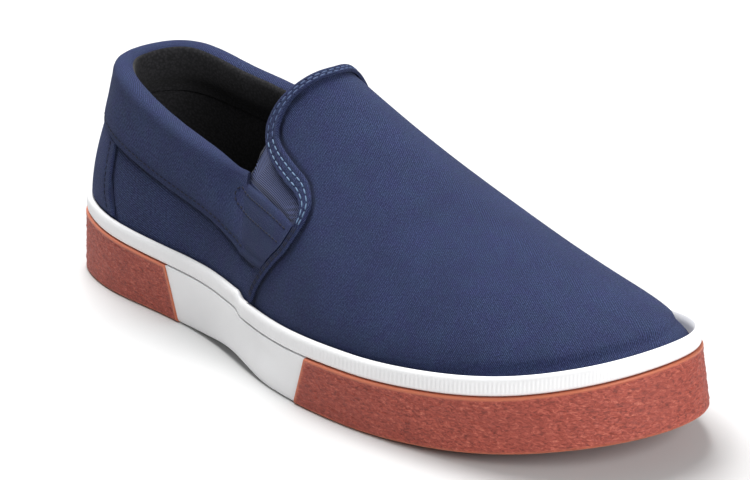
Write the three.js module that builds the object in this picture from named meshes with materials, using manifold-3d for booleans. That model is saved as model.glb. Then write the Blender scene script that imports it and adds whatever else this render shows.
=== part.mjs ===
// Men's slip-on canvas sneaker, right foot, standing empty on its sole.
// Millimetres. +X towards the toe, -Y the outer (lateral) side, +Z up, floor at z = 0.
import * as THREE from "three";
import { mergeVertices } from "three/addons/utils/BufferGeometryUtils.js";
import Module from "manifold-3d";

const wasm = await Module();
wasm.setup();

// Main sizes of the shoe
const LENGTH = 300;
const BALL_WIDTH = 110;
const HEEL_HEIGHT = 91;
const INSTEP_HEIGHT = 106;

// Cup sole
const SIDEWALL_HEIGHT = 21;
const SIDEWALL_LEAN = 1;
const EDGE_RADIUS = 1.6;
const TOE_SPRING = 14;
const ARCH_RISE = 3;
const GUM_WALL = 4;
const GUM_TREAD = 5;
const GUM_PROUD = 0.6;
const HEEL_GUM_END = 0.284;
const TOE_GUM_START = 0.5735;
const HEEL_GUM_SLANT = 9.1;
const TOE_GUM_SLANT = 5.7;
const GROOVE_WIDTH = 2.6;
const GROOVE_DEPTH = 1.8;
const GROOVE_PITCH = 11;

// Foxing strip round the top of the cup
const FOXING_HEIGHT = 6.8;
const FOXING_THICKNESS = 2.6;
const FOXING_STEP_AT = 0.427;
const FOXING_STEP_LENGTH = 5;
const FOXING_STEP_BELOW = 2.2;
const FOXING_STEP_ABOVE = 2;

// Upper and what is sewn on it
const UPPER_WALL = 2;
const SPOKE_SPREAD = 8;
const INSOLE_THICKNESS = 4;
const INSOLE_EDGE = 1.2;
const INSOLE_CLEARANCE = 2.6;
const COLLAR_PADDING = 3.2;
const COLLAR_HEM = 1.2;
const COLLAR_ROLL = 3.2;
const BINDING_THICKNESS = 1.3;
const GORE_THICKNESS = 1.2;
const GORE_LAP = 2.4;
const COUNTER_THICKNESS = 0.9;
const LASTING_LIFT = 0.8;
const FOOT_RISE = 0.012;
const GAP = 0.3;

// Steps of the facets
const OUTLINE_STEPS = 72;
const UPPER_LEVELS = 12;
const BINDING_STEPS = 56;

// Plan of the sole every 15 degrees of the half circle that a share of the length follows:
// half widths on the outer and the inner side, as shares of the ball width.
const SOLE_PLAN = [
  { lateral: 0.013, medial: -0.006 },
  { lateral: 0.165, medial: 0.152 },
  { lateral: 0.255, medial: 0.269 },
  { lateral: 0.305, medial: 0.332 },
  { lateral: 0.316, medial: 0.332 },
  { lateral: 0.362, medial: 0.298 },
  { lateral: 0.462, medial: 0.337 },
  { lateral: 0.5, medial: 0.451 },
  { lateral: 0.471, medial: 0.5 },
  { lateral: 0.396, medial: 0.465 },
  { lateral: 0.262, medial: 0.368 },
  { lateral: 0.093, medial: 0.24 },
  { lateral: -0.089, medial: 0.087 },
];

// Side view of the sole: rise of the tread as shares of toe spring and arch, height of the side
// wall over the sprung floor line as a share of its height, and how many times its lean.
const SOLE_SIDE = [
  { at: 0, spring: 0.12, arch: 0, wall: 1.28, lean: 1.6 },
  { at: 0.03, spring: 0, arch: 0, wall: 1.25, lean: 1.3 },
  { at: 0.14, spring: 0, arch: 0, wall: 1.12, lean: 1 },
  { at: 0.27, spring: 0, arch: 0, wall: 1.03, lean: 1 },
  { at: 0.34, spring: 0, arch: 0.3, wall: 1.03, lean: 1 },
  { at: 0.42, spring: 0, arch: 1, wall: 1.01, lean: 1 },
  { at: 0.52, spring: 0, arch: 0, wall: 1.005, lean: 1 },
  { at: 0.66, spring: 0, arch: 0, wall: 1.05, lean: 1 },
  { at: 0.76, spring: 0.12, arch: 0, wall: 1.07, lean: 1 },
  { at: 0.86, spring: 0.4, arch: 0, wall: 1.09, lean: 1.2 },
  { at: 0.94, spring: 0.73, arch: 0, wall: 1.15, lean: 2 },
  { at: 1, spring: 1, arch: 0, wall: 1.24, lean: 4.4 },
];

// Sections of the upper, from the middle of the heel round to the middle of the toe, each running
// from the feather line up to the opening. base: place on the feather line; at, side: place of the
// opening in length and half width; heel, instep: its height; inner: how much higher it is on the
// inner side; rise, flare: length of the lower tangent as a share of the height, and its lean
// outwards; reach, dip: length of the upper tangent as a share of the section, and its slope below
// level; hem: height of the collar's lower edge between foxing and opening.
const UPPER_SECTIONS = [
  { base: 0, at: 0.078, side: 0, heel: 1, instep: 0, inner: 0, rise: 0.4, flare: -2, reach: 0.35, dip: 74, hem: 0.62 },
  { base: 0.03, at: 0.095, side: 0.114, heel: 0.989, instep: 0, inner: 0.027, rise: 0.4, flare: -1, reach: 0.35, dip: 75, hem: 0.6 },
  { base: 0.1, at: 0.14, side: 0.191, heel: 0.951, instep: 0, inner: 0.055, rise: 0.4, flare: 1, reach: 0.35, dip: 78, hem: 0.565 },
  { base: 0.2, at: 0.213, side: 0.232, heel: 0.879, instep: 0, inner: 0.066, rise: 0.4, flare: 2, reach: 0.35, dip: 81, hem: 0.53 },
  { base: 0.3, at: 0.29, side: 0.25, heel: 0.813, instep: 0, inner: 0.088, rise: 0.4, flare: 2, reach: 0.35, dip: 80, hem: 0.485 },
  { base: 0.385, at: 0.357, side: 0.255, heel: 0.576, instep: 0.156, inner: 0.088, rise: 0.4, flare: 2, reach: 0.35, dip: 75, hem: 0.435 },
  { base: 0.45, at: 0.405, side: 0.245, heel: 0.411, instep: 0.289, inner: 0.066, rise: 0.42, flare: 2, reach: 0.36, dip: 64, hem: 0.335 },
  { base: 0.56, at: 0.428, side: 0.213, heel: 0.092, instep: 0.742, inner: 0.016, rise: 0.42, flare: 2, reach: 0.4, dip: 50, hem: 0.26 },
  { base: 0.7, at: 0.442, side: 0.164, heel: 0, instep: 0.93, inner: 0, rise: 0.31, flare: 0, reach: 0.46, dip: 42, hem: 0.26 },
  { base: 0.86, at: 0.457, side: 0.086, heel: 0, instep: 0.985, inner: 0, rise: 0.2, flare: -6, reach: 0.54, dip: 36.5, hem: 0.26 },
  { base: 1, at: 0.465, side: 0, heel: 0, instep: 1, inner: 0, rise: 0.14, flare: -22, reach: 0.6, dip: 32, hem: 0.26 },
];

// Edge of the throat binding that faces the opening, as shares of a turn and of the height over
// the foxing: from the sole up beside the collar, forward under the gore, back up to the tab.
const BINDING_PATH = [
  { at: 0, round: 0.3004, rise: 0, width: 2.6 },
  { at: 0.0715, round: 0.3123, rise: 0.165, width: 2.5 },
  { at: 0.127, round: 0.3231, rise: 0.262, width: 2.4 },
  { at: 0.192, round: 0.3367, rise: 0.352, width: 2.3 },
  { at: 0.259, round: 0.3502, rise: 0.424, width: 2.3 },
  { at: 0.298, round: 0.3583, rise: 0.477, width: 2.4 },
  { at: 0.3315, round: 0.3658, rise: 0.528, width: 2.7 },
  { at: 0.372, round: 0.3738, rise: 0.59, width: 3.9 },
  { at: 0.401, round: 0.3772, rise: 0.633, width: 5 },
  { at: 0.439, round: 0.3751, rise: 0.674, width: 6.4 },
  { at: 0.487, round: 0.3685, rise: 0.718, width: 6.9 },
  { at: 0.542, round: 0.361, rise: 0.775, width: 6.9 },
  { at: 0.5955, round: 0.3538, rise: 0.843, width: 6.9 },
  { at: 0.6355, round: 0.3495, rise: 0.901, width: 7 },
  { at: 0.671, round: 0.3476, rise: 0.953, width: 7 },
  { at: 0.695, round: 0.3493, rise: 0.985, width: 6.8 },
  { at: 0.725, round: 0.3553, rise: 1.003, width: 6.1 },
  { at: 0.762, round: 0.369, rise: 1.006, width: 4.9 },
  { at: 0.804, round: 0.3893, rise: 1.006, width: 3.8 },
  { at: 0.851, round: 0.4141, rise: 1.006, width: 3.1 },
  { at: 0.898, round: 0.439, rise: 1.006, width: 2.9 },
  { at: 1, round: 0.5, rise: 1.005, width: 2.8 },
];

// Edge of the collar along the gore, from the opening down to the binding.
const COLLAR_EDGE = [
  { at: 0, round: 0.301, rise: 1 },
  { at: 0.5, round: 0.3345, rise: 0.755 },
  { at: 1, round: 0.3665, rise: 0.533 },
];

// Height up the last of the gore's top edge, at even steps from the collar to the binding.
const GORE_TOP = [1, 1, 1.02, 1.015, 0.985, 0.955, 0.925];

// Places along the binding where it meets the collar's lower edge and the two ends of the gore.
const BINDING_AT_HEM = 0.13;
const BINDING_AT_GORE_FOOT = 0.335;
const BINDING_AT_GORE_TOP = 0.63;

// Front edge of the heel counter from the foxing up to the collar.
const COUNTER_EDGE = [
  { at: 0, round: 0.116 },
  { at: 0.2, round: 0.108 },
  { at: 0.7, round: 0.1055 },
];

// Value of a column of a table whose rows stand at uneven places, with level stretches kept level.
function columnAt(rows, column, at) {
  let i = 0;
  while (i < rows.length - 2 && at > rows[i + 1].at) i += 1;
  const span = (k) => rows[k + 1].at - rows[k].at;
  const secant = (k) => (rows[k + 1][column] - rows[k][column]) / span(k);
  const slope = (k) => {
    if (k === 0) return secant(0);
    if (k === rows.length - 1) return secant(k - 1);
    const [a, b] = [secant(k - 1), secant(k)];
    const blend = Math.abs(a * span(k) + b * span(k - 1)) / (span(k - 1) + span(k)) / 2;
    return (Math.sign(a) + Math.sign(b)) * Math.min(Math.abs(a), Math.abs(b), blend);
  };
  const h = span(i);
  const u = THREE.MathUtils.clamp((at - rows[i].at) / h, 0, 1);
  const [low, high] = [rows[i][column], rows[i + 1][column]];
  const rise = high - low;
  const bend = (1 - u) * (slope(i) * h - rise) - u * (slope(i + 1) * h - rise);
  return low + u * rise + u * (1 - u) * bend;
}

// Smooth closed curve through evenly spaced values, as a function of turns round it.
function closedCurve(values) {
  const count = values.length;
  const value = (i) => values[(i + count) % count];
  const slopes = new Array(count).fill(0);
  const slope = (i) => slopes[(i + count) % count];
  const PASSES = 30;
  for (let pass = 0; pass < PASSES; pass += 1) {
    for (let i = 0; i < count; i += 1) {
      slopes[i] = (3 * (value(i + 1) - value(i - 1)) - slope(i - 1) - slope(i + 1)) / 4;
    }
  }
  return (turns) => {
    const place = (turns - Math.floor(turns)) * count;
    const i = Math.floor(place);
    const u = place - i;
    const rise = value(i + 1) - value(i);
    const bend = (1 - u) * (slope(i) - rise) - u * (slope(i + 1) - rise);
    return value(i) + u * rise + u * (1 - u) * bend;
  };
}

// A half table from heel to toe made into a whole turn: outer side first, then back along the inner.
function wholeTurn(rows, lateral, medial) {
  const back = rows.slice(1, -1).reverse();
  return closedCurve([...rows.map(lateral), ...back.map(medial)]);
}

// Plan of the sole

const soleSide = wholeTurn(
  SOLE_PLAN,
  (row) => -row.lateral * BALL_WIDTH,
  (row) => row.medial * BALL_WIDTH,
);

function solePlan(turns) {
  return new THREE.Vector2((-Math.cos(2 * Math.PI * turns) * LENGTH) / 2, soleSide(turns));
}

const shareOfLength = (x) => THREE.MathUtils.clamp(x / LENGTH + 0.5, 0, 1);

// Point of the plan drawn in by an inset, and further by the lean of the side wall if asked.
function planInset(turns, inset, leaning = false) {
  const STEP = 0.002;
  const tangent = solePlan(turns + STEP).sub(solePlan(turns - STEP)).normalize();
  const outward = new THREE.Vector2(tangent.y, -tangent.x);
  const point = solePlan(turns);
  const lean = leaning ? SIDEWALL_LEAN * columnAt(SOLE_SIDE, "lean", shareOfLength(point.x)) : 0;
  return point.addScaledVector(outward, -inset - lean);
}

function treadHeight(x) {
  const at = shareOfLength(x);
  return TOE_SPRING * columnAt(SOLE_SIDE, "spring", at) + ARCH_RISE * columnAt(SOLE_SIDE, "arch", at);
}

function foxingStep(x) {
  return THREE.MathUtils.smoothstep(x - (FOXING_STEP_AT - 0.5) * LENGTH, 0, FOXING_STEP_LENGTH);
}

function sidewallTop(x) {
  const at = shareOfLength(x);
  const wall = SIDEWALL_HEIGHT * columnAt(SOLE_SIDE, "wall", at);
  return wall + TOE_SPRING * columnAt(SOLE_SIDE, "spring", at) - FOXING_STEP_BELOW * foxingStep(x);
}

function foxingTop(x) {
  const heightening = (FOXING_STEP_BELOW - FOXING_STEP_ABOVE) * foxingStep(x);
  return sidewallTop(x) + FOXING_HEIGHT + heightening;
}

// Turns one ring of the sole's plan, drawn in by an inset, into points at the heights given.
function planRing(inset, height, leaning = false) {
  return Array.from({ length: OUTLINE_STEPS }, (_, i) => {
    const p = planInset(i / OUTLINE_STEPS, inset, leaning);
    return new THREE.Vector3(p.x, p.y, height(p.x));
  });
}

// Closed bodies from grids of points

function geometryOf(points, faces) {
  const geometry = new THREE.BufferGeometry();
  geometry.setAttribute("position", new THREE.Float32BufferAttribute(points.flatMap((p) => [p.x, p.y, p.z]), 3));
  geometry.setIndex(faces.flat());
  return geometry;
}

const quad = (a, b, c, d) => [a, b, c, a, c, d];

// Solid between stacked rings, closed by a floor and a top that run across from side to side.
function stackedRings(rings) {
  const count = rings[0].length;
  const faces = [];
  const index = (level, i) => level * count + ((i + count) % count);
  for (let level = 0; level + 1 < rings.length; level += 1) {
    for (let i = 0; i < count; i += 1) {
      faces.push(quad(index(level, i), index(level, i + 1), index(level + 1, i + 1), index(level + 1, i)));
    }
  }
  const last = rings.length - 1;
  for (let i = 0; i < count / 2; i += 1) {
    const [a, b, c, d] = [i, i + 1, count - i - 1, count - i];
    const top = [a, b, c, d].map((k) => index(last, k));
    const floor = [d, c, b, a].map((k) => index(0, k));
    if (i === 0) {
      faces.push([top[0], top[1], top[2]], [floor[0], floor[1], floor[2]]);
    } else if (i === count / 2 - 1) {
      faces.push([top[0], top[1], top[3]], [floor[0], floor[2], floor[3]]);
    } else {
      faces.push(quad(...top), quad(...floor));
    }
  }
  return geometryOf(rings.flat(), faces);
}

// Wall between an outer and an inner grid of points, rows along the shoe and columns upwards.
function wallBetween(outer, inner, closed) {
  const rows = outer.length;
  const columns = outer[0].length;
  const half = rows * columns;
  const out = (i, j) => (i % rows) * columns + j;
  const inn = (i, j) => half + out(i, j);
  const faces = [];
  const spans = closed ? rows : rows - 1;
  for (let i = 0; i < spans; i += 1) {
    for (let j = 0; j + 1 < columns; j += 1) {
      faces.push(quad(out(i, j), out(i + 1, j), out(i + 1, j + 1), out(i, j + 1)));
      faces.push(quad(inn(i, j), inn(i, j + 1), inn(i + 1, j + 1), inn(i + 1, j)));
    }
    const top = columns - 1;
    faces.push(quad(out(i, 0), inn(i, 0), inn(i + 1, 0), out(i + 1, 0)));
    faces.push(quad(out(i, top), out(i + 1, top), inn(i + 1, top), inn(i, top)));
  }
  if (!closed) {
    const end = rows - 1;
    for (let j = 0; j + 1 < columns; j += 1) {
      faces.push(quad(out(0, j), out(0, j + 1), inn(0, j + 1), inn(0, j)));
      faces.push(quad(out(end, j), inn(end, j), inn(end, j + 1), out(end, j + 1)));
    }
  }
  return geometryOf([...outer.flat(), ...inner.flat()], faces);
}

function solidOf(geometry) {
  const bare = geometry.clone();
  bare.deleteAttribute("normal");
  bare.deleteAttribute("uv");
  const merged = mergeVertices(bare, 1e-4);
  return new wasm.Manifold(
    new wasm.Mesh({
      numProp: 3,
      vertProperties: new Float32Array(merged.attributes.position.array),
      triVerts: new Uint32Array(merged.index.array),
    }),
  );
}

function geometryFrom(solid) {
  const mesh = solid.getMesh();
  const geometry = new THREE.BufferGeometry();
  geometry.setAttribute("position", new THREE.BufferAttribute(mesh.vertProperties, 3));
  geometry.setIndex(new THREE.BufferAttribute(mesh.triVerts, 1));
  return geometry;
}

// Block over the whole width of the shoe with a side view given as points in x and z.
function sideBlock(corners) {
  const shape = new THREE.Shape(corners.map(([x, z]) => new THREE.Vector2(x, z)));
  const block = new THREE.ExtrudeGeometry(shape, { depth: 2 * BALL_WIDTH, bevelEnabled: false });
  block.rotateX(Math.PI / 2);
  block.translate(0, BALL_WIDTH, 0);
  return solidOf(block);
}

// Cup sole: white midsole with gum heel and toe pieces wrapped round it

function cupBody(inset, lift, drop) {
  return solidOf(
    stackedRings([
      planRing(inset + EDGE_RADIUS, (x) => treadHeight(x) + lift),
      planRing(inset + EDGE_RADIUS / 4, (x) => treadHeight(x) + lift + EDGE_RADIUS / 3),
      planRing(inset, (x) => treadHeight(x) + lift + EDGE_RADIUS),
      planRing(inset, (x) => sidewallTop(x) - drop, true),
    ]),
  );
}

const heelGumFront = (HEEL_GUM_END - 0.5) * LENGTH;
const toeGumRear = (TOE_GUM_START - 0.5) * LENGTH;
const blockTop = SIDEWALL_HEIGHT + TOE_SPRING + INSTEP_HEIGHT;

function heelBlock(grow) {
  const slantTop = heelGumFront - HEEL_GUM_SLANT + grow;
  return sideBlock([
    [-LENGTH, -LENGTH],
    [heelGumFront + grow + HEEL_GUM_SLANT, -SIDEWALL_HEIGHT],
    [slantTop, SIDEWALL_HEIGHT],
    [slantTop, blockTop],
    [-LENGTH, blockTop],
  ]);
}

function toeBlock(grow) {
  const slantTop = toeGumRear + TOE_GUM_SLANT - grow;
  return sideBlock([
    [toeGumRear - grow - TOE_GUM_SLANT, -SIDEWALL_HEIGHT],
    [LENGTH, -LENGTH],
    [LENGTH, blockTop],
    [slantTop, blockTop],
    [slantTop, SIDEWALL_HEIGHT],
  ]);
}

// Grooves across the tread, from just outside one side of the shoe to the other.
function treadGrooves(from, to) {
  const grooves = [];
  for (let x = from; x <= to; x += GROOVE_PITCH) {
    const roof = treadHeight(x) + GROOVE_DEPTH;
    const floor = -GROOVE_DEPTH;
    grooves.push(
      sideBlock([
        [x - GROOVE_WIDTH / 2, floor],
        [x + GROOVE_WIDTH / 2, floor],
        [x + GROOVE_WIDTH / 4, roof],
        [x - GROOVE_WIDTH / 4, roof],
      ]),
    );
  }
  return grooves.reduce((all, groove) => all.add(groove));
}

const proudCup = cupBody(0, 0, GAP);
const whiteCup = cupBody(GUM_PROUD, 0, GAP);
const gumCore = cupBody(GUM_WALL, GUM_TREAD, -GUM_WALL);
const midsoleCore = cupBody(GUM_WALL + GAP, GUM_TREAD + GAP, -GUM_WALL);
const rimInset = GUM_WALL + EDGE_RADIUS;
const grooveMargin = solidOf(
  stackedRings([
    planRing(rimInset, () => -TOE_SPRING),
    planRing(rimInset, () => SIDEWALL_HEIGHT + TOE_SPRING),
  ]),
);

function gumPiece(block, from, to) {
  const grooves = treadGrooves(from, to).intersect(grooveMargin);
  return geometryFrom(proudCup.subtract(gumCore).intersect(block).subtract(grooves));
}

function makeHeelGum() {
  return gumPiece(heelBlock(0), -LENGTH / 2 + 2 * GROOVE_PITCH, heelGumFront - GROOVE_PITCH);
}

function makeToeGum() {
  return gumPiece(toeBlock(0), toeGumRear + GROOVE_PITCH, LENGTH / 2 - 2 * GROOVE_PITCH);
}

function makeMidsole() {
  const gumZones = heelBlock(GAP).add(toeBlock(GAP)).subtract(midsoleCore);
  return geometryFrom(whiteCup.subtract(gumZones));
}

// Foxing: a strip with a rounded outer face, stepped down where its front length starts

function makeFoxing() {
  const foot = (x) => sidewallTop(x);
  const height = (x) => foxingTop(x) - sidewallTop(x);
  const outerRing = (inset, share) => planRing(inset, (x) => foot(x) + share * height(x), true);
  const face = GUM_PROUD;
  const outer = [
    outerRing(face + 0.3 * FOXING_THICKNESS, 0),
    outerRing(face, 0.12),
    outerRing(face, 0.65),
    outerRing(face + 0.45 * FOXING_THICKNESS, 1),
  ];
  const inner = [0, 0.12, 0.65, 1].map((share) => outerRing(face + FOXING_THICKNESS, share));
  const byStep = (rings) => rings[0].map((_, i) => rings.map((ring) => ring[i]));
  return wallBetween(byStep(outer), byStep(inner), true);
}

// Upper

const featherInset = GUM_PROUD + FOXING_THICKNESS + 2 * GAP;
const angleOfShare = (share) => Math.acos(1 - 2 * share) / (2 * Math.PI);
const sectionSpan = 2 * (UPPER_SECTIONS.length - 1);
const baseDrift = (row) => angleOfShare(row.base) - UPPER_SECTIONS.indexOf(row) / sectionSpan;
const drift = wholeTurn(UPPER_SECTIONS, baseDrift, (row) => -baseDrift(row));
const baseTurn = (round) => round + drift(round);
const even = (value) => wholeTurn(UPPER_SECTIONS, value, value);

// Stations of the upper in line with the facets of the sole.
const stations = Array.from({ length: OUTLINE_STEPS }, (_, i) => {
  let [low, high] = [-0.1, 1.1];
  const HALVINGS = 30;
  for (let k = 0; k < HALVINGS; k += 1) {
    const middle = (low + high) / 2;
    if (baseTurn(middle) < i / OUTLINE_STEPS) low = middle;
    else high = middle;
  }
  return (low + high) / 2;
});
const openingX = even((row) => (row.at - 0.5) * LENGTH);
const openingY = wholeTurn(
  UPPER_SECTIONS,
  (row) => -row.side * BALL_WIDTH,
  (row) => row.side * BALL_WIDTH,
);
const openingZ = wholeTurn(
  UPPER_SECTIONS,
  (row) => row.heel * HEEL_HEIGHT + row.instep * INSTEP_HEIGHT,
  (row) => (row.heel + row.inner) * HEEL_HEIGHT + row.instep * INSTEP_HEIGHT,
);
const riseShare = even((row) => row.rise);
const flareAngle = even((row) => THREE.MathUtils.degToRad(row.flare));
const reachShare = even((row) => row.reach);
const dipAngle = even((row) => THREE.MathUtils.degToRad(row.dip));
const hemLevel = even((row) => row.hem);

// Point of the last's surface: round runs once about the shoe from the heel by the outer side,
// up runs from the feather line to the opening.
function lastPoint(round, up) {
  const plan = planInset(baseTurn(round), featherInset, true);
  const base = new THREE.Vector3(plan.x, plan.y, sidewallTop(plan.x) + LASTING_LIFT);
  const top = new THREE.Vector3(openingX(round), openingY(round), openingZ(round));
  const ahead = planInset(baseTurn(round) + 0.002, featherInset, true);
  const tangent = ahead.sub(plan).normalize();
  const outward = new THREE.Vector3(tangent.y, -tangent.x, 0);
  const flare = flareAngle(round);
  const dip = dipAngle(round);
  const low = base
    .clone()
    .addScaledVector(outward, Math.sin(flare) * riseShare(round) * (top.z - base.z))
    .add(new THREE.Vector3(0, 0, Math.cos(flare) * riseShare(round) * (top.z - base.z)));
  const level = new THREE.Vector3(base.x - top.x, base.y - top.y, 0)
    .addScaledVector(outward, SPOKE_SPREAD)
    .normalize();
  const reach = reachShare(round) * top.distanceTo(base);
  const high = top
    .clone()
    .addScaledVector(level, Math.cos(dip) * reach)
    .add(new THREE.Vector3(0, 0, -Math.sin(dip) * reach));
  return new THREE.CubicBezierCurve3(base, low, high, top).getPoint(up);
}

function lastFrame(round, up) {
  const STEP = 0.003;
  const along = lastPoint(round + STEP, up).sub(lastPoint(round - STEP, up)).divideScalar(2 * STEP);
  const upward = lastPoint(round, up + STEP).sub(lastPoint(round, up - STEP)).divideScalar(2 * STEP);
  return { along, upward, normal: along.clone().cross(upward).normalize() };
}

function offLast(round, up, offset, beyond = 0) {
  const { normal, upward } = lastFrame(round, up);
  return lastPoint(round, up).addScaledVector(normal, offset).addScaledVector(upward.normalize(), beyond);
}

// Place on the last a distance away from another, in a direction on its surface.
function stepOnLast({ round, up }, direction, distance) {
  const { along, upward } = lastFrame(round, up);
  const [aa, ab, bb] = [along.dot(along), along.dot(upward), upward.dot(upward)];
  const [pa, pb] = [along.dot(direction) * distance, upward.dot(direction) * distance];
  const scale = aa * bb - ab * ab;
  return { round: round + (pa * bb - pb * ab) / scale, up: up + (pb * aa - pa * ab) / scale };
}

// Place on the last at a share of the height between the foxing's top edge and the opening.
function placeAt(round, rise) {
  let [low, high] = [0, 1];
  const HALVINGS = 24;
  for (let i = 0; i < HALVINGS; i += 1) {
    const middle = (low + high) / 2;
    const p = lastPoint(round, middle);
    if (p.z < foxingTop(p.x) + GAP) low = middle;
    else high = middle;
  }
  return { round, up: THREE.MathUtils.lerp(high, 1, rise) };
}

// The same on the outer side, or at the mirrored place on the inner side.
const sidePlace = (inner, round, rise) => placeAt(inner ? 1 - round : round, rise);

// Sewn piece over the last: places in rows, with the offsets of its two faces.
function sewnPiece(places, below, above, closed = false) {
  const face = (offset) => places.map((row) => row.map((p) => offLast(p.round, p.up, offset(p))));
  return wallBetween(face(above), face(below), closed);
}

// Throat binding: from the sole round the tab to the sole on the other side

function bindingEdge(at) {
  const half = at <= 1 ? at : 2 - at;
  const round = columnAt(BINDING_PATH, "round", half);
  const rise = columnAt(BINDING_PATH, "rise", half);
  return sidePlace(at > 1, round, rise);
}

function bindingWidth(at) {
  return columnAt(BINDING_PATH, "width", at <= 1 ? at : 2 - at);
}

// Direction on the last from the binding's edge towards the vamp.
function bindingAcross(at) {
  const STEP = 0.01;
  const place = bindingEdge(at);
  const before = bindingEdge(at - STEP);
  const after = bindingEdge(at + STEP);
  const run = lastPoint(after.round, after.up).sub(lastPoint(before.round, before.up));
  return lastFrame(place.round, place.up).normal.cross(run).normalize().negate();
}

function bindingRow(at) {
  const ACROSS_STEPS = 3;
  const across = bindingAcross(at);
  const row = [bindingEdge(at)];
  for (let i = 0; i < ACROSS_STEPS; i += 1) {
    row.push(stepOnLast(row[i], across, bindingWidth(at) / ACROSS_STEPS));
  }
  const lowest = (round) => placeAt(round, FOOT_RISE).up;
  return row.reverse().map(({ round, up }) => ({ round, up: Math.max(up, lowest(round)) }));
}

function makeThroatBinding() {
  const START = 0.004;
  const rows = Array.from({ length: BINDING_STEPS + 1 }, (_, i) =>
    bindingRow(THREE.MathUtils.lerp(START, 2 - START, i / BINDING_STEPS)),
  );
  const lift = 1.5 * GAP;
  return sewnPiece(rows, () => lift, () => lift + BINDING_THICKNESS);
}

// Collar: a padded cuff over the opening's edge from gore to gore, with a flat end beside each gore

const hemPlace = (round) => placeAt(round, hemLevel(round));
const goreStart = COLLAR_EDGE[0].round;

// Thickness of the collar's padding, from its lower edge to the opening, thinner towards the gore.
function collarThickness(round, share) {
  const away = Math.abs(round - Math.round(round));
  const FADE_FROM = 0.2;
  const fade = THREE.MathUtils.smoothstep(away, FADE_FROM, goreStart);
  const padding = THREE.MathUtils.lerp(COLLAR_HEM, COLLAR_PADDING, Math.sqrt(share));
  return THREE.MathUtils.lerp(padding, COLLAR_HEM, fade);
}

function makeCuff() {
  const OUTER_STEPS = 3;
  const wall = UPPER_WALL + GAP;
  const section = (round) => {
    const low = hemPlace(round).up;
    const padding = collarThickness(round, 1);
    const outside = Array.from({ length: OUTER_STEPS + 1 }, (_, j) => {
      const share = j / OUTER_STEPS;
      const up = THREE.MathUtils.lerp(low, 1, share);
      return { outer: [up, GAP + collarThickness(round, share), 0], inner: [up, GAP, 0] };
    });
    return [
      ...outside,
      { outer: [1, GAP + 0.6 * padding, 0.75 * COLLAR_ROLL], inner: [1, GAP / 2, GAP] },
      { outer: [1, -UPPER_WALL / 2, COLLAR_ROLL], inner: [1, -UPPER_WALL / 2, GAP] },
      { outer: [1, -wall - 0.6 * padding, 0.75 * COLLAR_ROLL], inner: [1, -UPPER_WALL - GAP / 2, GAP] },
      { outer: [0.98, -wall - padding, 0], inner: [0.98, -wall, 0] },
      { outer: [0.86, -wall - padding, 0], inner: [0.86, -wall, 0] },
      { outer: [0.72, -wall - COLLAR_HEM, 0], inner: [0.72, -wall, 0] },
    ];
  };
  const END_MARGIN = 0.004;
  const between = stations.filter((round) => round < goreStart - END_MARGIN).slice(1);
  const rows = [-goreStart, ...between.map((round) => -round).reverse(), 0, ...between, goreStart];
  const face = (side) => rows.map((round) => section(round).map((p) => offLast(round, ...p[side])));
  return wallBetween(face("outer"), face("inner"), false);
}

const mixPlaces = (a, b, share) => ({
  round: THREE.MathUtils.lerp(a.round, b.round, share),
  up: THREE.MathUtils.lerp(a.up, b.up, share),
});

// Flat end of the collar between its lower edge, the gore and the binding.
function makeCollarEnd(inner) {
  const STEPS = 8;
  const LEVELS = 5;
  const lapRound = goreStart - 0.01;
  const bindingSide = (share) => {
    const half = THREE.MathUtils.lerp(BINDING_AT_HEM, BINDING_AT_GORE_FOOT, share);
    const at = inner ? 2 - half : half;
    return stepOnLast(bindingEdge(at), bindingAcross(at), -2 * GAP);
  };
  const turn = (round) => (inner ? 1 - round : round);
  const corner = { low: bindingSide(0), high: bindingSide(1) };
  const hemEnd = turn(corner.low.round);
  const hemAt = (share) => {
    const place = hemPlace(turn(THREE.MathUtils.lerp(lapRound, hemEnd, share)));
    const miss = corner.low.up - hemPlace(corner.low.round).up;
    return { round: place.round, up: place.up + miss * share };
  };
  const goreAt = (share) => {
    const round = columnAt(COLLAR_EDGE, "round", share);
    const place = sidePlace(inner, round, columnAt(COLLAR_EDGE, "rise", share));
    const last = sidePlace(inner, COLLAR_EDGE.at(-1).round, COLLAR_EDGE.at(-1).rise);
    const shift = (inner ? 1 : -1) * (goreStart - lapRound) * (1 - share);
    return {
      round: place.round + shift + (corner.high.round - last.round) * share,
      up: place.up + (corner.high.up - last.up) * share,
    };
  };
  const cuffSide = (share) => mixPlaces(hemAt(0), goreAt(0), share);
  const rows = Array.from({ length: STEPS + 1 }, (_, i) =>
    Array.from({ length: LEVELS + 1 }, (_, j) => {
      const [s, t] = [i / STEPS, j / LEVELS];
      const across = mixPlaces(hemAt(s), goreAt(s), t);
      const along = mixPlaces(cuffSide(t), bindingSide(t), s);
      const flat = mixPlaces(mixPlaces(hemAt(0), goreAt(0), t), mixPlaces(hemAt(1), goreAt(1), t), s);
      return { round: across.round + along.round - flat.round, up: across.up + along.up - flat.up, share: t };
    }),
  );
  if (inner) rows.reverse();
  const lift = 1.5 * GAP;
  return sewnPiece(rows, () => lift, (p) => lift + collarThickness(p.round, p.share));
}

function makeCollar() {
  const [cuff, ...ends] = [makeCuff(), makeCollarEnd(false), makeCollarEnd(true)].map(solidOf);
  return geometryFrom(ends.reduce((whole, end) => whole.add(end), cuff));
}

// Gore: elastic in a window of the upper, lapped by the collar and the binding

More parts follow.
